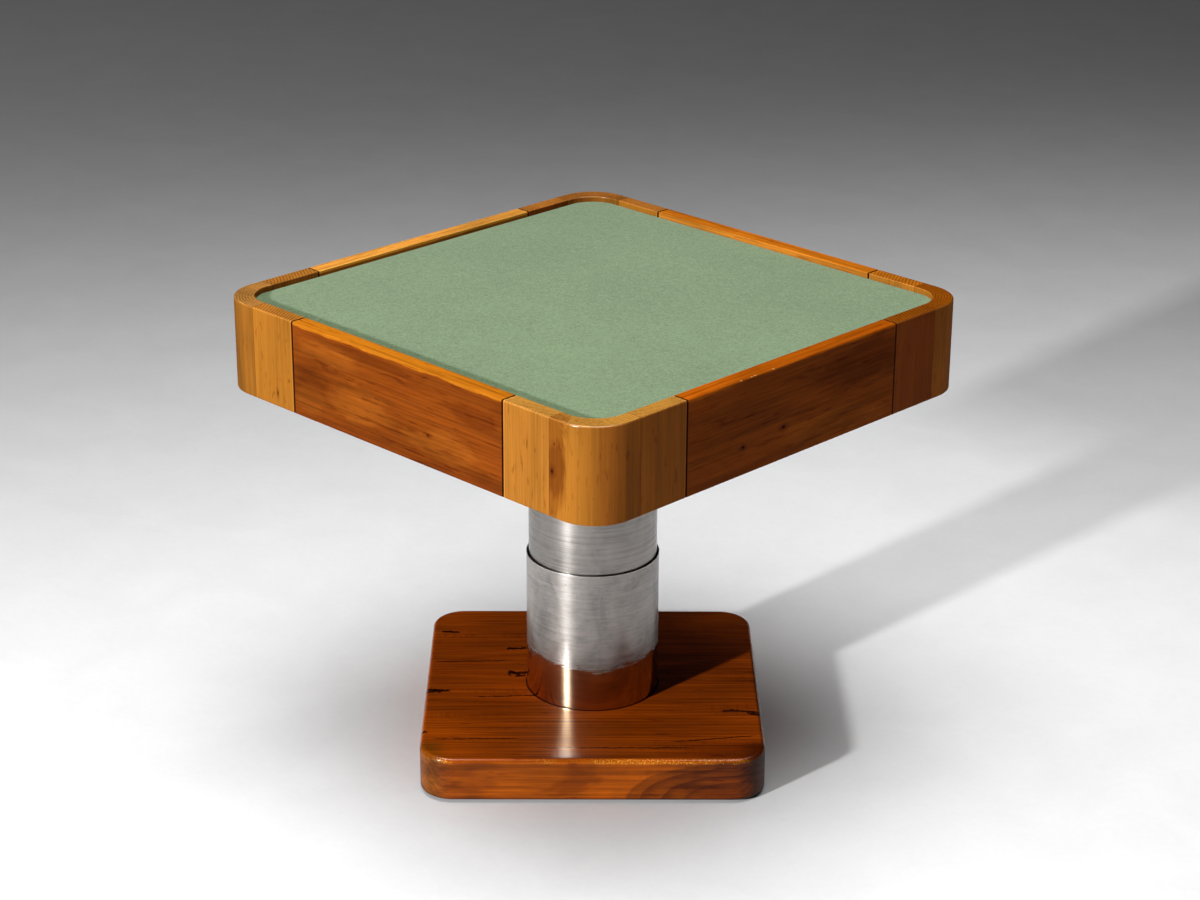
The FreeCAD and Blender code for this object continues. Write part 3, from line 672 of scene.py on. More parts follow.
def plinth_edges(wood, along, front, up):
    """The worn top edge of the front, lighter both from wear and from a painted highlight on its rounding,
    and its darker ends.
    """
    upper = wood.rise(up, PLINTH_TOP - 10 * MM, PLINTH_TOP - 5.5 * MM)
    to_front = wood.rise(front, PLINTH_HALF - 13 * MM, PLINTH_HALF - 5 * MM)
    rounding = wood.rise(wood.facing_z, 0.98, 0.8) * upper * to_front
    speckle = wood.noise(420, 3, 0.7)
    where = wood.noise((16, 5, 5), 2, space=wood.space) + wood.rise(along, -0.2, 0.26) * 0.22
    worn = rounding * wood.rise(where, -0.08, 0.16) * wood.rise(speckle, 0.0, 0.08)
    wood.cover(worn * 0.6, WORN_GOLD)
    # Painted highlight: the rounded top edge of the front is lightened
    wood.tint(rounding, (1.5, 1.45, 0.7))
    near_face = wood.rise(front, 0.2, 0.23)
    wood.tint(wood.rise(along, 0.08, 0.25) * near_face, (0.66, 0.58, 0.42))
    wood.tint(wood.rise(along, 0.222, 0.262) * near_face, (0.5, 0.5, 0.45))
    wood.tint(wood.rise(along, -0.222, -0.258) * near_face, (0.6, 0.8, 1.1))


def beech(name, grain, colour):
    """Unvarnished beech inside the table, with its short flecks."""
    wood = Wood(name, grain, colour, 0.72, 1.15)
    wood.figure(fibre=0.4, streak=0.4, patch=0.3)
    wood.rings((0.3, 0.9), 5 * MM, 0.16, (0.75, 0.62, 0.5), wander=0.02)
    wood.pores(180, 620, 0.3, (0.66, 0.5, 0.38))
    return wood.varnish(0.6, 0.4, 0.05, 0.4)


def plywood(name, grain, colour, plies):
    """Plywood: pale faces, and edges that show the plies one above the other along axis 0, 1 or 2."""
    wood = Wood(name, grain, colour, 0.74, 1.12)
    wood.figure(fibre=0.4, streak=0.45, patch=0.35)
    wood.rings((0.2, 1.1), 12 * MM, 0.22, (0.8, 0.66, 0.52), wander=0.06)
    ply = wood.rise(abs((wood.place[plies] / (3.0 * MM)).fraction() - 0.5), 0.2, 0.28)
    wood.tint(wood.rise(abs(wood.facing[plies]), 0.6, 0.4) * ply * 0.75, (0.5, 0.36, 0.26))
    return wood.varnish(0.68, 0.35, 0.0, 0.4)


# Metal, plastic and cloth


def column_steel(name, settings, shade, dull, lines, polish=None, lip=None):
    """Steel tube, brushed round and round, polished below one height, and with a painted highlight, a
    brighter band, just under another.

    Shade is its tone, dull how much painted shade darkens its right side, for the dark shadow it reflects
    there, and lines how strong the brushing is.
    """
    steel = Finish(name)
    brush = steel.noise((14, 14, 1400), 3, 0.7)
    coarse = steel.noise((6, 6, 330), 3, 0.6)
    cloud = steel.noise((16, 16, 11), 4, 0.55, 0.6)
    smear = steel.noise((30, 30, 140), 3, 0.6, 1.4)
    pit = steel.rise(steel.noise(420, 1), 0.235, 0.27)
    tone = cloud * 1.5 + brush * (0.6 * lines) + coarse * (0.9 * lines) + smear * (1.1 - lines * 0.6)
    steel.colour = steel.tones(tone, Vector(settings.steel_colour) * shade, 0.62, 1.22, 0.4)
    steel.tint(pit * 0.8, (0.2, 0.19, 0.17))
    # Painted shade: the right side of the tube is darkened, for the dark shadow it reflects
    steel.tint(steel.rise(steel.x, -0.05, 0.1) * dull, (0.6, 0.6, 0.6))
    # Painted highlight: a bright band just under the lip
    if lip is not None:
        steel.tint(steel.rise(steel.z, lip - 1.8 * MM, lip - 1.0 * MM), (1.7, 1.7, 1.7))
    fine_colour = steel.colour
    fine_roughness = settings.polish_roughness + cloud * 0.1 + smear * 0.08
    brushed = 0.7 + cloud * 0.4 + coarse * (0.5 * lines)
    if polish is not None:
        scuff = steel.spot((0.107, -0.019, polish + 1 * MM), (0.03, 0.034, 0.011)) + smear * 0.4
        scuffed = steel.rise(abs(scuff - 1.0), 0.16, 0.05) * steel.rise(cloud + smear, -0.12, 0.12)
        steel.tint(scuffed, (0.35, 0.3, 0.28))
        tide = steel.noise((5, 5, 3), 2, 0.5, 0.4)
        matt = steel.rise(steel.z + tide * 0.07 + smear * 0.04, polish - 2 * MM, polish + 7 * MM)
        # The polished band is brighter, and tinted warm as a painted reflection of the brown plinth
        fine_colour = steel.blend(1.0 - matt, steel.colour, (1.5, 1.18, 0.8), "MULTIPLY")
        fine_roughness = fine_roughness * (0.72 + matt * 0.28)
        brushed = brushed * matt
    height = brush * (0.5 * lines) + coarse * (0.7 * lines) + pit * -1.5 + smear * 0.4
    fine = {"Metallic": 1, "Normal": steel.bump(height, 0.012 * MM, 0.35)}
    rough = {
        "Metallic": 1,
        "Anisotropic": 0.8,
        "Anisotropic Rotation": 0.25,
        "Normal": steel.bump(height, 0.02 * MM),
    }
    smooth = steel.shader(fine_colour, fine_roughness, fine)
    lined = steel.shader(steel.colour, settings.brush_roughness + cloud * 0.1, rough)
    return steel.end(steel.mix(brushed, smooth, lined))


def felt_cloth(settings):
    """Short woollen felt: a mottle of matted fibres, a soft sheen and a fine nap."""
    felt = Finish("green_felt")
    matted = felt.noise(330, 4, 0.75, 0.8)
    tufts = felt.noise(120, 2, 0.6, 1.5)
    across = felt.noise((900, 260, 500), 2, 0.6, 1.0)
    tone = matted * 1.5 + tufts * 0.9 + felt.noise(7, 3) * 0.3 + across * 0.7
    nap = {
        "Specular IOR Level": 0.2,
        "Sheen Weight": 0.25,
        "Sheen Roughness": 0.5,
        "Sheen Tint": (0.75, 0.9, 0.7),
        "Normal": felt.bump(matted + tufts * 0.6, 0.5 * MM, 0.55),
    }
    return felt.end(felt.shader(felt.tones(tone, settings.felt_colour, 0.62, 1.32, 0.35), 0.95, nap))


def powder_coat():
    """Black powder coat, with its fine orange peel."""
    coat = Finish("black_steel")
    dust = coat.noise(24, 3, 0.6)
    colour = coat.ramp(dust, [(0.3, (0.018, 0.018, 0.019)), (0.7, (0.034, 0.033, 0.032))])
    peel = coat.bump(coat.noise(650), 0.08 * MM)
    return coat.end(coat.shader(colour, 0.46 + dust * 0.2, {"Normal": peel}))


def zinc_plate():
    """Zinc plating, faintly blue and yellow, with small handling marks."""
    zinc = Finish("zinc_steel")
    grit = zinc.noise(900, 2, 0.6)
    stops = [(0.3, (0.42, 0.43, 0.45)), (0.55, (0.56, 0.56, 0.55)), (0.75, (0.62, 0.58, 0.47))]
    colour = zinc.ramp(zinc.noise(60, 3, 0.6, 1.0), stops)
    metal = {"Metallic": 1, "Normal": zinc.bump(grit, 0.03 * MM)}
    return zinc.end(zinc.shader(colour, 0.32 + grit * 0.2, metal))


def moulded_nylon():
    """Black moulded nylon, with a fine spark-eroded grain."""
    nylon = Finish("nylon")
    scuff = nylon.noise(45, 3, 0.7)
    colour = nylon.ramp(scuff * 0.8, [(0.3, (0.026, 0.026, 0.027)), (0.75, (0.055, 0.054, 0.052))])
    grain = nylon.bump(nylon.noise(1100, 2, 0.6), 0.05 * MM, 0.6)
    return nylon.end(nylon.shader(colour, 0.5 + scuff * 0.25, {"Normal": grain}))


def hard_chrome():
    """Hard chrome with fine lines along the rod and a trace of oil."""
    chrome = Finish("chromed_rod")
    oil = chrome.noise((30, 30, 22), 3, 0.6)
    colour = chrome.ramp(oil, [(0.3, (0.6, 0.59, 0.57)), (0.7, (0.8, 0.8, 0.81))])
    lines = chrome.bump(chrome.noise((900, 900, 12), 2, 0.6), 0.01 * MM, 0.3)
    return chrome.end(chrome.shader(colour, 0.08 + oil * 0.08, {"Metallic": 1, "Normal": lines}))


def floor_finish(settings):
    """A pale, faintly mottled studio floor."""
    floor = Finish("studio_floor")
    base = Vector(settings.floor_colour)
    mottle = floor.noise(6, 4, 0.6, 0.5) + floor.noise(70, 3, 0.7) * 0.5
    colour = floor.ramp(mottle, [(0.3, base * 0.965), (0.7, base * 1.02)])
    return floor.end(floor.shader(colour, 0.6, {"Specular IOR Level": 0.25}))


# Meshes


def add_object(name, data):
    """An object of this data, linked to the scene."""
    made = bpy.data.objects.new(name, data)
    bpy.context.scene.collection.objects.link(made)
    return made


def new_piece(name, mesh, material, body, angle=35):
    """Makes a piece of a mesh with its place in it, smooth up to an angle, that rides on its body."""
    mesh.materials.clear()
    mesh.materials.append(material)
    mesh.shade_smooth()
    mesh.set_sharp_from_angle(angle=math.radians(angle))
    piece = add_object(name, mesh)
    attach(piece, body)
    return piece


def dress(node, material):
    """Gives a CAD node its material."""
    held = frame["nodes"][node].data
    held.materials.clear()
    held.materials.append(material)


def made_mesh(name, bm):
    """A mesh of what a bmesh holds."""
    mesh = bpy.data.meshes.new(name)
    bm.to_mesh(mesh)
    bm.free()
    return mesh


def settled_mesh(carrier):
    """The plain mesh of an object as its modifiers leave it. The object is removed."""
    bpy.context.view_layer.update()
    evaluated = carrier.evaluated_get(bpy.context.evaluated_depsgraph_get())
    mesh = bpy.data.meshes.new_from_object(evaluated)
    carrier.modifiers.clear()
    bpy.data.objects.remove(carrier)
    return mesh


def rounded_square(half, radius, arc_steps, side_steps):
    """Points round a square with rounded corners, anticlockwise."""
    points = []
    straight = half - radius
    for quarter in range(4):
        turn = Matrix.Rotation(math.radians(90 * quarter), 3, "Z")
        for step in range(side_steps):
            y = -straight + 2 * straight * step / side_steps
            points.append(turn @ Vector((half, y, 0)))
        for step in range(arc_steps):
            angle = math.radians(90) * step / arc_steps
            corner = Vector((straight + radius * math.cos(angle), straight + radius * math.sin(angle), 0))
            points.append(turn @ corner)
    return points


def skin(bm, loops):
    """Faces between loops of the same number of vertices, with a fan at each end."""
    count = len(loops[0])
    for lower, upper in zip(loops, loops[1:]):
        for i in range(count):
            j = (i + 1) % count
            bm.faces.new((lower[i], lower[j], upper[j], upper[i]))
    for loop, is_first in ((loops[0], True), (loops[-1], False)):
        middle = bm.verts.new(sum((v.co for v in loop), Vector()) / count)
        for i in range(count):
            j = (i + 1) % count
            bm.faces.new((loop[j], loop[i], middle) if is_first else (loop[i], loop[j], middle))


# Shares of the cloth's half width at which its rows of faces meet, below it and on top of it
FELT_UNDER = (0.10, 0.35, 0.6, 0.8, 0.92, 0.985, 0.9985)
FELT_OVER = (
    0.992, 0.985, 0.97, 0.95, 0.92, 0.88, 0.84, 0.8, 0.75, 0.7,
    0.64, 0.58, 0.52, 0.46, 0.4, 0.33, 0.26, 0.19, 0.12, 0.06,
)
# Its rolled edge: share of the edge's width inwards, and share of the cloth's thickness upwards
FELT_ROLL = ((0.0, 0.25), (0.0, 0.6), (0.25, 0.86), (0.8, 1.0))


def felt_mesh(settings):
    """The cloth: a thin closed sheet with a soft edge and a faint undulation."""
    low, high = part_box("felt")
    outline = rounded_square(high.x, settings.felt_corner, 12, 22)
    bm = bmesh.new()
    loops = []
    for share in FELT_UNDER:
        loops.append([bm.verts.new((p.x * share, p.y * share, low.z)) for p in outline])
    for inset, height in FELT_ROLL:
        share = 1 - inset * settings.felt_edge / high.x
        z = low.z + (high.z - low.z) * height
        loops.append([bm.verts.new((p.x * share, p.y * share, z)) for p in outline])
    for share in FELT_OVER:
        loop = []
        for p in outline:
            place = Vector((p.x * share, p.y * share, 0))
            wave = noise.noise(place * 11 + Vector((3, 7, 0))) + 0.5 * noise.noise(place * 27)
            loop.append(bm.verts.new((place.x, place.y, high.z - settings.felt_wave * (0.75 + 0.5 * wave))))
        loops.append(loop)
    skin(bm, loops)
    return made_mesh("felt_cloth", bm)


# Steps of a quarter turn on a tube's lips, and of the straight outside and bore between them
LIP_STEPS = 5
OUTSIDE_STEPS = 60
BORE_STEPS = 6


def lip_points(radius, height, lip, start, steps):
    """Points of a rounded lip about its centre, over a quarter turn from a start angle in degrees."""
    points = []
    for step in steps:
        angle = math.radians(start + 90 * step / LIP_STEPS)
        points.append((radius + lip * math.cos(angle), height + lip * math.sin(angle)))
    return points


def wobble(angle, height, seed):
    """How far a spot of a tube stands out from the true circle, in mm."""
    place = Vector((math.cos(angle) * 1.3, math.sin(angle) * 1.3, height * 9 + seed))
    ripple = Vector((math.cos(angle) * 3.1, math.sin(angle) * 3.1, height * 30 + seed))
    return 0.16 * noise.noise(place) + 0.05 * noise.noise(ripple)


def tube_mesh(name, outer, wall, low_end, high_end, lip, segments, seed):
    """A tube as a closed section spun round Z, with rounded lips and its outside a little out of true."""
    inner = outer - wall
    bottom, top = low_end + lip, high_end - lip
    outside = lip_points(outer - lip, bottom, lip, -90, range(LIP_STEPS + 1))
    outside += [(outer, bottom + (top - bottom) * step / OUTSIDE_STEPS) for step in range(1, OUTSIDE_STEPS)]
    outside += lip_points(outer - lip, top, lip, 0, range(LIP_STEPS + 1))
    inside = lip_points(inner + lip, top, lip, 90, range(1, LIP_STEPS + 1))
    inside += [(inner, top - (top - bottom) * step / BORE_STEPS) for step in range(1, BORE_STEPS)]
    inside += lip_points(inner + lip, bottom, lip, 180, range(LIP_STEPS))
    bm = bmesh.new()
    columns = []
    for turn in range(segments):
        angle = 2 * math.pi * turn / segments
        section = [(radius + wobble(angle, z, seed) * MM, z) for radius, z in outside] + inside
        columns.append([bm.verts.new((r * math.cos(angle), r * math.sin(angle), z)) for r, z in section])
    for this, following in zip(columns, columns[1:] + columns[:1]):
        for i in range(len(this)):
            j = (i + 1) % len(this)
            bm.faces.new((this[i], following[i], following[j], this[j]))
    bmesh.ops.remove_doubles(bm, verts=bm.verts, dist=1e-7)
    bmesh.ops.recalc_face_normals(bm, faces=bm.faces)
    return made_mesh(name, bm)


def notched(mesh, low, high):
    """A mesh less a box between two corners."""
    bm = bmesh.new()
    bmesh.ops.create_cube(bm, size=1)
    place = Matrix.Translation((high + low) / 2) @ Matrix.Diagonal((*(high - low), 1))
    bmesh.ops.transform(bm, verts=bm.verts, matrix=place)
    cutter = add_object("notch_tool", made_mesh("notch", bm))
    body = add_object("notched_body", mesh)
    modifier = body.modifiers.new("notch", "BOOLEAN")
    modifier.operation = "DIFFERENCE"
    modifier.solver = "EXACT"
    modifier.object = cutter
    result = settled_mesh(body)
    bpy.data.objects.remove(cutter)
    return result


def islands(node):
    """The box of each separate solid of a CAD node, as (lowest corner, highest corner)."""
    bm = bmesh.new()
    bm.from_mesh(frame["nodes"][node].data)
    bmesh.ops.remove_doubles(bm, verts=bm.verts, dist=1e-6)
    left = set(bm.verts)
    boxes = []
    while left:
        seed = left.pop()
        found, queue = {seed}, [seed]
        while queue:
            for edge in queue.pop().link_edges:
                for other in edge.verts:
                    if other in left:
                        left.discard(other)
                        found.add(other)
                        queue.append(other)
        lowest = Vector(min(v.co[i] for v in found) for i in range(3))
        highest = Vector(max(v.co[i] for v in found) for i in range(3))
        boxes.append((lowest, highest))
    bm.free()
    return sorted(boxes, key=lambda box: (round(box[0].x, 4), round(box[0].y, 4)))


class GeometryTree(Tree):
    """A Geometry Nodes tree with named inputs."""

    def __init__(self, name):
        super().__init__(bpy.data.node_groups.new(name, "GeometryNodeTree"))
        for way in ("INPUT", "OUTPUT"):
            self.tree.interface.new_socket("Geometry", in_out=way, socket_type="NodeSocketGeometry")
        self.identifiers = {}
        self.entry = self.node("NodeGroupInput")

    def input(self, name, kind):
        made = self.tree.interface.new_socket(name, in_out="INPUT", socket_type="NodeSocket" + kind)
        self.identifiers[name] = made.identifier
        return self.number(self.entry.outputs[name])

    def solid(self, kind, sockets, height):
        """A mesh primitive, moved up by a height."""
        made = self.node("GeometryNodeMesh" + kind, {}, sockets).outputs["Mesh"]
        offset = self.node("ShaderNodeCombineXYZ", {}, {"Z": height}).outputs[0]
        moved = self.node("GeometryNodeTransform", {}, {"Geometry": made, "Translation": offset})
        return moved.outputs["Geometry"]

    def boolean(self, operation, sockets):
        return self.node("GeometryNodeMeshBoolean", {"operation": operation}, sockets).outputs["Mesh"]


def screw_tree():
    """Cross-recess screws, one at each point, with their heads down and their seats at the points."""
    made = GeometryTree("screws")
    sizes = ("Head Radius", "Head Height", "Shank Radius", "Length")
    head_radius, head_height, shank_radius, length = [made.input(name, "Float") for name in sizes]
    seed = made.input("Seed", "Int")
    finish = made.input("Finish", "Material")

    rim = head_height * 0.55
    rim_mesh = made.solid("Cylinder", {"Vertices": 28, "Radius": head_radius, "Depth": rim}, rim * -0.5)
    crown_sockets = {
        "Vertices": 28,
        "Radius Top": head_radius * 0.999,
        "Radius Bottom": head_radius * 0.72,
        "Depth": (head_height - rim) * 1.1,
    }
    crown_mesh = made.solid("Cone", crown_sockets, head_height * -1.0)
    shank_depth = length + rim * 0.5
    shank_sockets = {"Vertices": 16, "Radius": shank_radius, "Depth": shank_depth}
    shank = made.solid("Cylinder", shank_sockets, length - shank_depth * 0.5)
    whole = made.boolean("UNION", {"Mesh 2": [rim_mesh, crown_mesh, shank]})

    arm = head_radius * 1.15
    slot = head_radius * 0.24
    bars = []
    for long_side, short_side in ((arm, slot), (slot, arm)):
        sides = {"X": long_side, "Y": short_side, "Z": head_height * 0.9}
        size = made.node("ShaderNodeCombineXYZ", {}, sides).outputs[0]
        bars.append(made.solid("Cube", {"Size": size}, head_height * -1.0))
    cut = made.boolean("DIFFERENCE", {"Mesh 1": whole, "Mesh 2": bars})

    spin_sockets = {"Min": (0, 0, 0), "Max": (0, 0, math.pi / 2), "Seed": seed}
    spin = made.node("FunctionNodeRandomValue", {"data_type": "FLOAT_VECTOR"}, spin_sockets).outputs[0]
    placed_sockets = {"Points": made.entry.outputs["Geometry"], "Instance": cut, "Rotation": spin}
    placed = made.node("GeometryNodeInstanceOnPoints", {}, placed_sockets).outputs[0]
    real = made.node("GeometryNodeRealizeInstances", {}, {"Geometry": placed}).outputs[0]
    dressed = made.node("GeometryNodeSetMaterial", {}, {"Geometry": real, "Material": finish}).outputs[0]
    made.node("NodeGroupOutput", {}, {0: dressed})
    return made


def grown_mesh(name, points, made, inputs):
    """The plain mesh that a Geometry Nodes tree grows from points."""
    seeds = bpy.data.meshes.new(name + "_points")
    seeds.from_pydata(points, [], [])
    carrier = add_object(name + "_points", seeds)
    modifier = carrier.modifiers.new(name, "NODES")
    modifier.node_group = made.tree
    for key, value in inputs.items():
        modifier[made.identifiers[key]] = value
    mesh = settled_mesh(carrier)
    mesh.name = name
    return mesh


# Settings


def colour_setting(name, description, default, **kind):
    """A colour, unless its kind says otherwise."""
    kind = {"subtype": "COLOR", "max": 1, **kind}
    return bpy.props.FloatVectorProperty(name=name, description=description, default=default, min=0, **kind)


def number_setting(name, description, default, least, most, **kind):
    """A number between two limits, with its unit or subtype where it has one."""
    return bpy.props.FloatProperty(
        name=name, description=description, default=default, min=least, max=most, **kind
    )


class GameTableWood(bpy.types.PropertyGroup):
    panel_colour: colour_setting("Drawer fronts", "Middle tone of the drawer fronts", paint(111, 52, 9))
    corner_colour: colour_setting("Corner pieces", "Middle tone of the corner pieces", paint(140, 88, 26))
    plinth_colour: colour_setting("Plinth", "Middle tone of the plinth", paint(149, 64, 2))
    end_tint: colour_setting(
        "End grain tint", "What the tops of the corner pieces are multiplied by", (1.15, 1.42, 2.2),
        subtype="NONE", max=4,
    )
    ply_colour: colour_setting("Plywood", "Middle tone of the plywood", paint(204, 172, 132))
    stain_colour: colour_setting(
        "Stained board", "Middle tone of the stained board under the top", paint(74, 44, 24)
    )
    beech_colour: colour_setting("Beech", "Middle tone of the drawer sides and runners", paint(206, 166, 122))


class GameTableFelt(bpy.types.PropertyGroup):
    felt_colour: colour_setting("Colour", "Middle tone of the playing cloth", paint(92, 110, 80))
    felt_corner: number_setting(
        "Corner radius", "Radius of the cloth's corners", 40 * MM, 10 * MM, 100 * MM, unit="LENGTH"
    )
    felt_edge: number_setting(
        "Edge", "How far the cloth's edge rolls over", 1.2 * MM, 0.2 * MM, 5 * MM, unit="LENGTH"
    )
    felt_wave: number_setting(
        "Wave", "Height of the cloth's faint undulation", 0.2 * MM, 0, 1 * MM, unit="LENGTH"
    )


class GameTableColumn(bpy.types.PropertyGroup):
    steel_colour: colour_setting("Steel", "Middle tone of the cover tubes", (0.40, 0.374, 0.350))
    polish_roughness: number_setting(
        "Polished", "Roughness of the polished share", 0.2, 0.02, 1, subtype="FACTOR"
    )
    brush_roughness: number_setting(
        "Brushed", "Roughness of the brushed share", 0.36, 0.02, 1, subtype="FACTOR"
    )
    segments: bpy.props.IntProperty(
        name="Segments", description="Facets round each cover tube", default=256, min=64, max=512
    )


class GameTableStage(bpy.types.PropertyGroup):
    floor_colour: colour_setting("Floor", "Colour of the pale floor", (0.7, 0.7, 0.705))
    key_power: number_setting(
        "Key light", "Power of the compact lamp at the left", 900, 0, 5000, unit="POWER"
    )
    key_height: number_setting("Key height", "Height of the lamp above the floor", 2.9, 0, 10, unit="LENGTH")
    key_distance: number_setting("Key distance", "How far off the lamp stands", 8.0, 1, 20, unit="LENGTH")
    fill_power: number_setting(
        "Overhead light", "Power of the large soft lamp overhead", 74, 0, 5000, unit="POWER"
    )
    floor_power: number_setting(
        "Floor light", "Power of the lamp that lights the floor behind the table", 12, 0, 5000, unit="POWER"
    )
    sky_strength: number_setting("Surroundings", "Strength of the even light from all round", 0.006, 0, 2)


class GameTableSettings(bpy.types.PropertyGroup):
    wood: bpy.props.PointerProperty(type=GameTableWood)
    felt: bpy.props.PointerProperty(type=GameTableFelt)
    column: bpy.props.PointerProperty(type=GameTableColumn)
    stage: bpy.props.PointerProperty(type=GameTableStage)


# Operators


class GAMETABLE_OT_rim(bpy.types.Operator):
    """Finishes the four drawer fronts and the corner pieces between them"""

    bl_idname = "gametable.rim"
    bl_label = "Dress the Rim"

    def execute(self, context):
        settings = context.scene.game_table.wood
        for side in SIDES:
            dress("drawer_%s_panel" % side, panel_wood(side, settings))
        block = block_wood(settings)
        stave = stave_wood(settings)
        for corner in CORNERS:
            dress("corner_block_" + corner, block)
            dress("corner_staves_" + corner, stave)
        return {"FINISHED"}


class GAMETABLE_OT_felt(bpy.types.Operator):
    """Lays the cloth on the playing field"""

    bl_idname = "gametable.felt"
    bl_label = "Lay the Felt"

    def execute(self, context):
        settings = context.scene.game_table.felt
        cloth = felt_cloth(settings)
        piece = new_piece("felt_cloth", felt_mesh(settings), cloth, "tabletop", 60)
        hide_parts("felt")
        return {"FINISHED"}


class GAMETABLE_OT_column(bpy.types.Operator):
    """Makes the two cover tubes of the column"""

    bl_idname = "gametable.column"
    bl_label = "Make the Cover Tubes"

    def execute(self, context):
        settings = context.scene.game_table.column
        low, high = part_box("outer_tube")
        outer = tube_mesh(
            "outer_cover_tube", high.x, 2.0 * MM, low.z, high.z, 0.8 * MM, settings.segments, 3.0
        )
        steel = column_steel(
            "column_steel_lower", settings, shade=1.24, dull=0.8, lines=0.45, polish=POLISH_TOP, lip=high.z
        )
        piece = new_piece("outer_cover_tube", outer, steel, "base")
        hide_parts("outer_tube")
        low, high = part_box("inner_tube")
        inner = tube_mesh(
            "inner_cover_tube", high.y, 1.5 * MM, low.z, high.z, 0.5 * MM, settings.segments, 8.0
        )
        notch_low = Vector((80 * MM, -13 * MM, 598 * MM))
        notch_high = Vector((130 * MM, 13 * MM, high.z + 10 * MM))
        inner = notched(inner, notch_low, notch_high)
        steel = column_steel("column_steel_upper", settings, shade=0.8, dull=0.1, lines=1.0)
        piece = new_piece("inner_cover_tube", inner, steel, "tabletop")
        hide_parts("inner_tube")
        return {"FINISHED"}


class GAMETABLE_OT_plinth(bpy.types.Operator):
    """Finishes the plinth"""

    bl_idname = "gametable.plinth"
    bl_label = "Dress the Plinth"

    def execute(self, context):
        dress("plinth", plinth_wood(context.scene.game_table.wood))
        return {"FINISHED"}


class GAMETABLE_OT_boards(bpy.types.Operator):
    """Finishes the boards, walls and runners inside the top, and the drawers' boxes"""

    bl_idname = "gametable.boards"
    bl_label = "Dress the Carcass"

    def execute(self, context):
        settings = context.scene.game_table.wood
        flat = plywood("plywood_flat", "x", settings.ply_colour, 2)
        walls = {
            "x": plywood("plywood_along_x", "x", settings.ply_colour, 1),
            "y": plywood("plywood_along_y", "y", settings.ply_colour, 0),
        }
        boxes = {grain: beech("beech_along_" + grain, grain, settings.beech_colour) for grain in "xy"}
        dress("field_board", flat)
        dress("floor_board", plywood("plywood_stained", "x", settings.stain_colour, 2))
        for node in ("drawer_runners", "drawer_stops"):
            dress(node, boxes["x"])
        for side in SIDES:
            grain = "x" if side in ("front", "back") else "y"
            dress("core_wall_" + side, walls[grain])
            dress("drawer_%s_walls" % side, boxes[grain])
            dress("drawer_%s_bottom" % side, flat)
        for corner in CORNERS:
            dress("corner_brace_" + corner, walls["x"])
        return {"FINISHED"}


class GAMETABLE_OT_fittings(bpy.types.Operator):
    """Finishes the steel and nylon parts of the lift, the swivel and the lever"""

    bl_idname = "gametable.fittings"
    bl_label = "Dress the Fittings"

    def execute(self, context):
        finishes = {
            "black_steel": powder_coat(),
            "zinc_steel": zinc_plate(),
            "nylon": moulded_nylon(),
            "chromed_rod": hard_chrome(),
        }
        for row in frame["record"]["subparts"]:
            if row["material_slot"] in finishes:
                dress(row["node"], finishes[row["material_slot"]])
        return {"FINISHED"}


class GAMETABLE_OT_screws(bpy.types.Operator):
    """Drives the screws of the base plate, the hub, the tube ring and the carcass"""

    bl_idname = "gametable.screws"
    bl_label = "Drive the Screws"

    def execute(self, context):
        made = screw_tree()
        finish = bpy.data.materials["zinc_steel"]
        wood_screw = {"Head Radius": 4.0 * MM, "Head Height": 2.5 * MM, "Shank Radius": 2.0 * MM}
        machine_screw = {"Head Radius": 6.0 * MM, "Head Height": 4.0 * MM, "Shank Radius": 3.0 * MM}
        kinds = (
            ("base_plate_screws", "base", wood_screw),
            ("hub_screws", "tabletop", machine_screw),
            ("ring_screws", "tabletop", machine_screw),
            ("carcass_screws", "tabletop", wood_screw),
        )
        for seed, (node, body, sizes) in enumerate(kinds, start=4):
            seats = []
            for low, high in islands(node):
                middle = (low + high) / 2
                seats.append((middle.x, middle.y, low.z + sizes["Head Height"]))
                reach = high.z - low.z - sizes["Head Height"]
            inputs = {**sizes, "Length": reach, "Seed": seed, "Finish": finish}
            mesh = grown_mesh(node + "_cross", seats, made, inputs)
            piece = new_piece(node + "_cross", mesh, finish, body)
            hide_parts(node)
        return {"FINISHED"}


# The camera's place in metres, its lens in mm, and its heading from +Y, pitch and roll in degrees
CAMERA_PLACE = (2.874221, -2.901050, 2.145818)
CAMERA_LENS = 82.152
CAMERA_ANGLES = (-44.5817, -22.0407, 0.31524)
FLOOR_REACH = 40.0


def add_camera():
    """The camera, turned by its heading, its pitch and its roll."""
    heading, pitch, roll = (math.radians(angle) for angle in CAMERA_ANGLES)
    level = math.cos(pitch)
    forward = Vector((math.sin(heading) * level, math.cos(heading) * level, math.sin(pitch)))
    right = forward.cross(Vector((0, 0, 1))).normalized()
    up = right.cross(forward)
    rolled_right = right * math.cos(roll) + up * math.sin(roll)
    rolled_up = up * math.cos(roll) - right * math.sin(roll)
    data = bpy.data.cameras.new("camera")
    data.sensor_width = 36
    data.lens = CAMERA_LENS
    camera = add_object("camera", data)
    turned = Matrix((rolled_right, rolled_up, -forward)).transposed().to_4x4()
    camera.matrix_world = Matrix.Translation(CAMERA_PLACE) @ turned
    return camera


def lamp(name, place, target, size, power, spread):
    """A rectangular soft lamp that faces a point. A smaller spread keeps its light nearer its axis."""
    data = bpy.data.lights.new(name, "AREA")
    data.shape = "RECTANGLE"
    data.size, data.size_y = size
    data.energy = power
    data.spread = math.radians(spread)
    made = add_object(name, data)
    made.location = place
    made.rotation_mode = "QUATERNION"
    made.rotation_quaternion = (Vector(place) - Vector(target)).to_track_quat("Z", "Y")


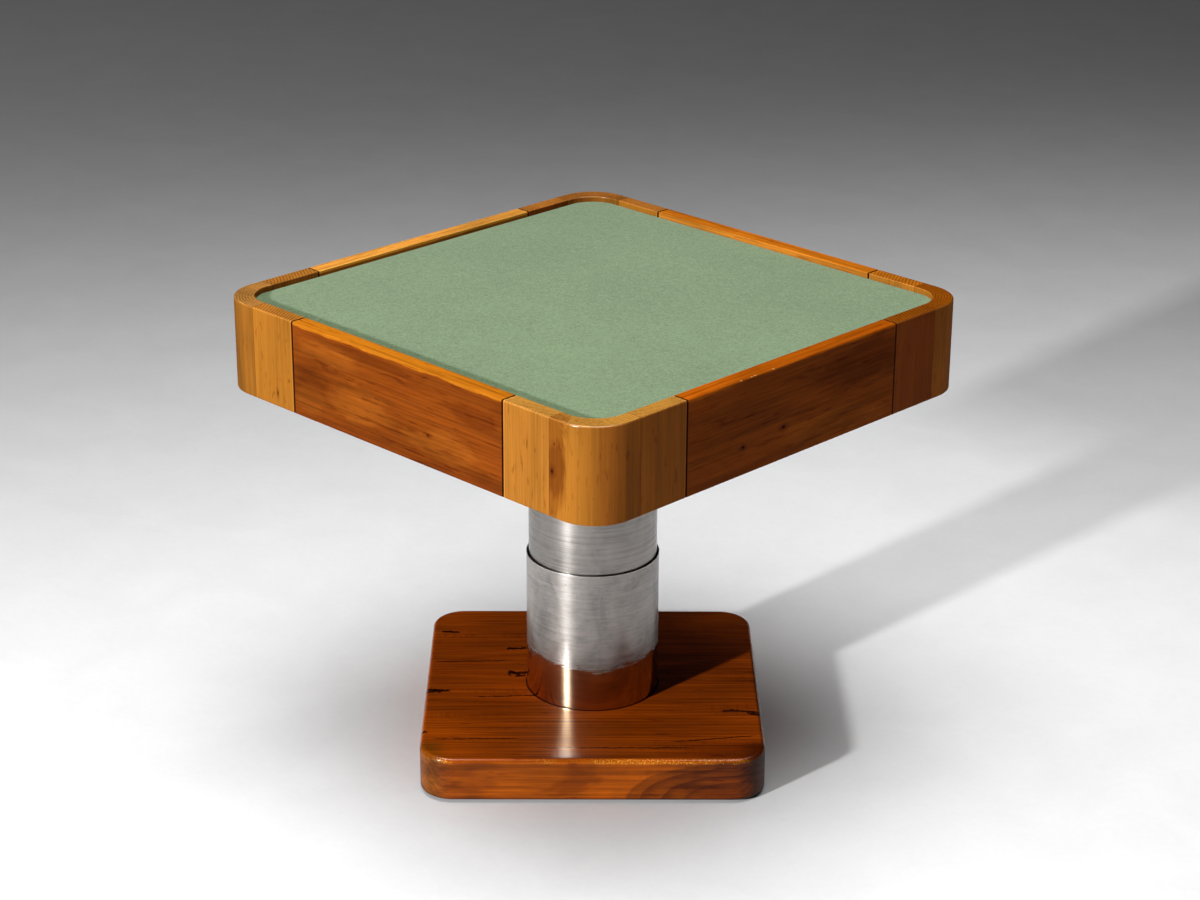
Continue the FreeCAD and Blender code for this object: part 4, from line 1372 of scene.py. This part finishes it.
class GAMETABLE_OT_stage(bpy.types.Operator):
    """Sets the floor, the studio lamps and the camera"""

    bl_idname = "gametable.stage"
    bl_label = "Set the Stage"

    def execute(self, context):
        scene = context.scene
        settings = scene.game_table.stage
        mesh = bpy.data.meshes.new("studio_floor")
        corners = [(x * FLOOR_REACH, y * FLOOR_REACH, 0) for x, y in ((-1, -1), (1, -1), (1, 1), (-1, 1))]
        mesh.from_pydata(corners, [], [(0, 1, 2, 3)])
        mesh.materials.append(floor_finish(settings))
        floor = add_object("studio_floor", mesh)

        key_place = (-0.01, -settings.key_distance, settings.key_height)
        lamp("key_lamp", key_place, (0, 0, 0.4), (0.34, 0.46), settings.key_power, 180)
        lamp("overhead_lamp", (0.2, -0.6, 4.2), (0.45, -0.8, 0), (3.4, 3.4), settings.fill_power, 90)
        lamp("floor_lamp", (0.6, 2.2, 3.4), (0.6, 2.2, 0), (2.4, 2.4), settings.floor_power, 80)

        scene.world = bpy.data.worlds.new("studio")
        scene.world.use_nodes = True
        world = Tree(scene.world.node_tree)
        sky_sockets = {"Color": (0.95, 0.97, 1.0), "Strength": settings.sky_strength}
        sky = world.node("ShaderNodeBackground", {}, sky_sockets)
        world.node("ShaderNodeOutputWorld", {}, {"Surface": sky.outputs[0]})

        scene.camera = add_camera()
        scene.view_settings.view_transform = "Standard"
        return {"FINISHED"}


class GAMETABLE_PT_sidebar(bpy.types.Panel):
    """Lists the settings and the steps of the game table"""

    bl_idname = "GAMETABLE_PT_sidebar"
    bl_label = "Game Table"
    bl_space_type = "VIEW_3D"
    bl_region_type = "UI"
    bl_category = "Game Table"

    def draw(self, context):
        settings = context.scene.game_table
        for group in (settings.wood, settings.felt, settings.column, settings.stage):
            box = self.layout.box()
            for name in group.__annotations__:
                box.prop(group, name)
        for step in STEPS:
            self.layout.operator(step.bl_idname)


STEPS = (
    GAMETABLE_OT_stage,
    GAMETABLE_OT_rim,
    GAMETABLE_OT_felt,
    GAMETABLE_OT_column,
    GAMETABLE_OT_plinth,
    GAMETABLE_OT_boards,
    GAMETABLE_OT_fittings,
    GAMETABLE_OT_screws,
)
CLASSES = (
    GameTableWood,
    GameTableFelt,
    GameTableColumn,
    GameTableStage,
    GameTableSettings,
    *STEPS,
    GAMETABLE_PT_sidebar,
)


def register():
    for made in CLASSES:
        bpy.utils.register_class(made)
    bpy.types.Scene.game_table = bpy.props.PointerProperty(type=GameTableSettings)


def unregister():
    del bpy.types.Scene.game_table
    for made in reversed(CLASSES):
        bpy.utils.unregister_class(made)


def main():
    register()
    bpy.ops.gametable.stage()
    bpy.ops.gametable.rim()
    bpy.ops.gametable.felt()
    bpy.ops.gametable.column()
    bpy.ops.gametable.plinth()
    bpy.ops.gametable.boards()
    bpy.ops.gametable.fittings()
    bpy.ops.gametable.screws()


if __name__ == "__main__":
    main()
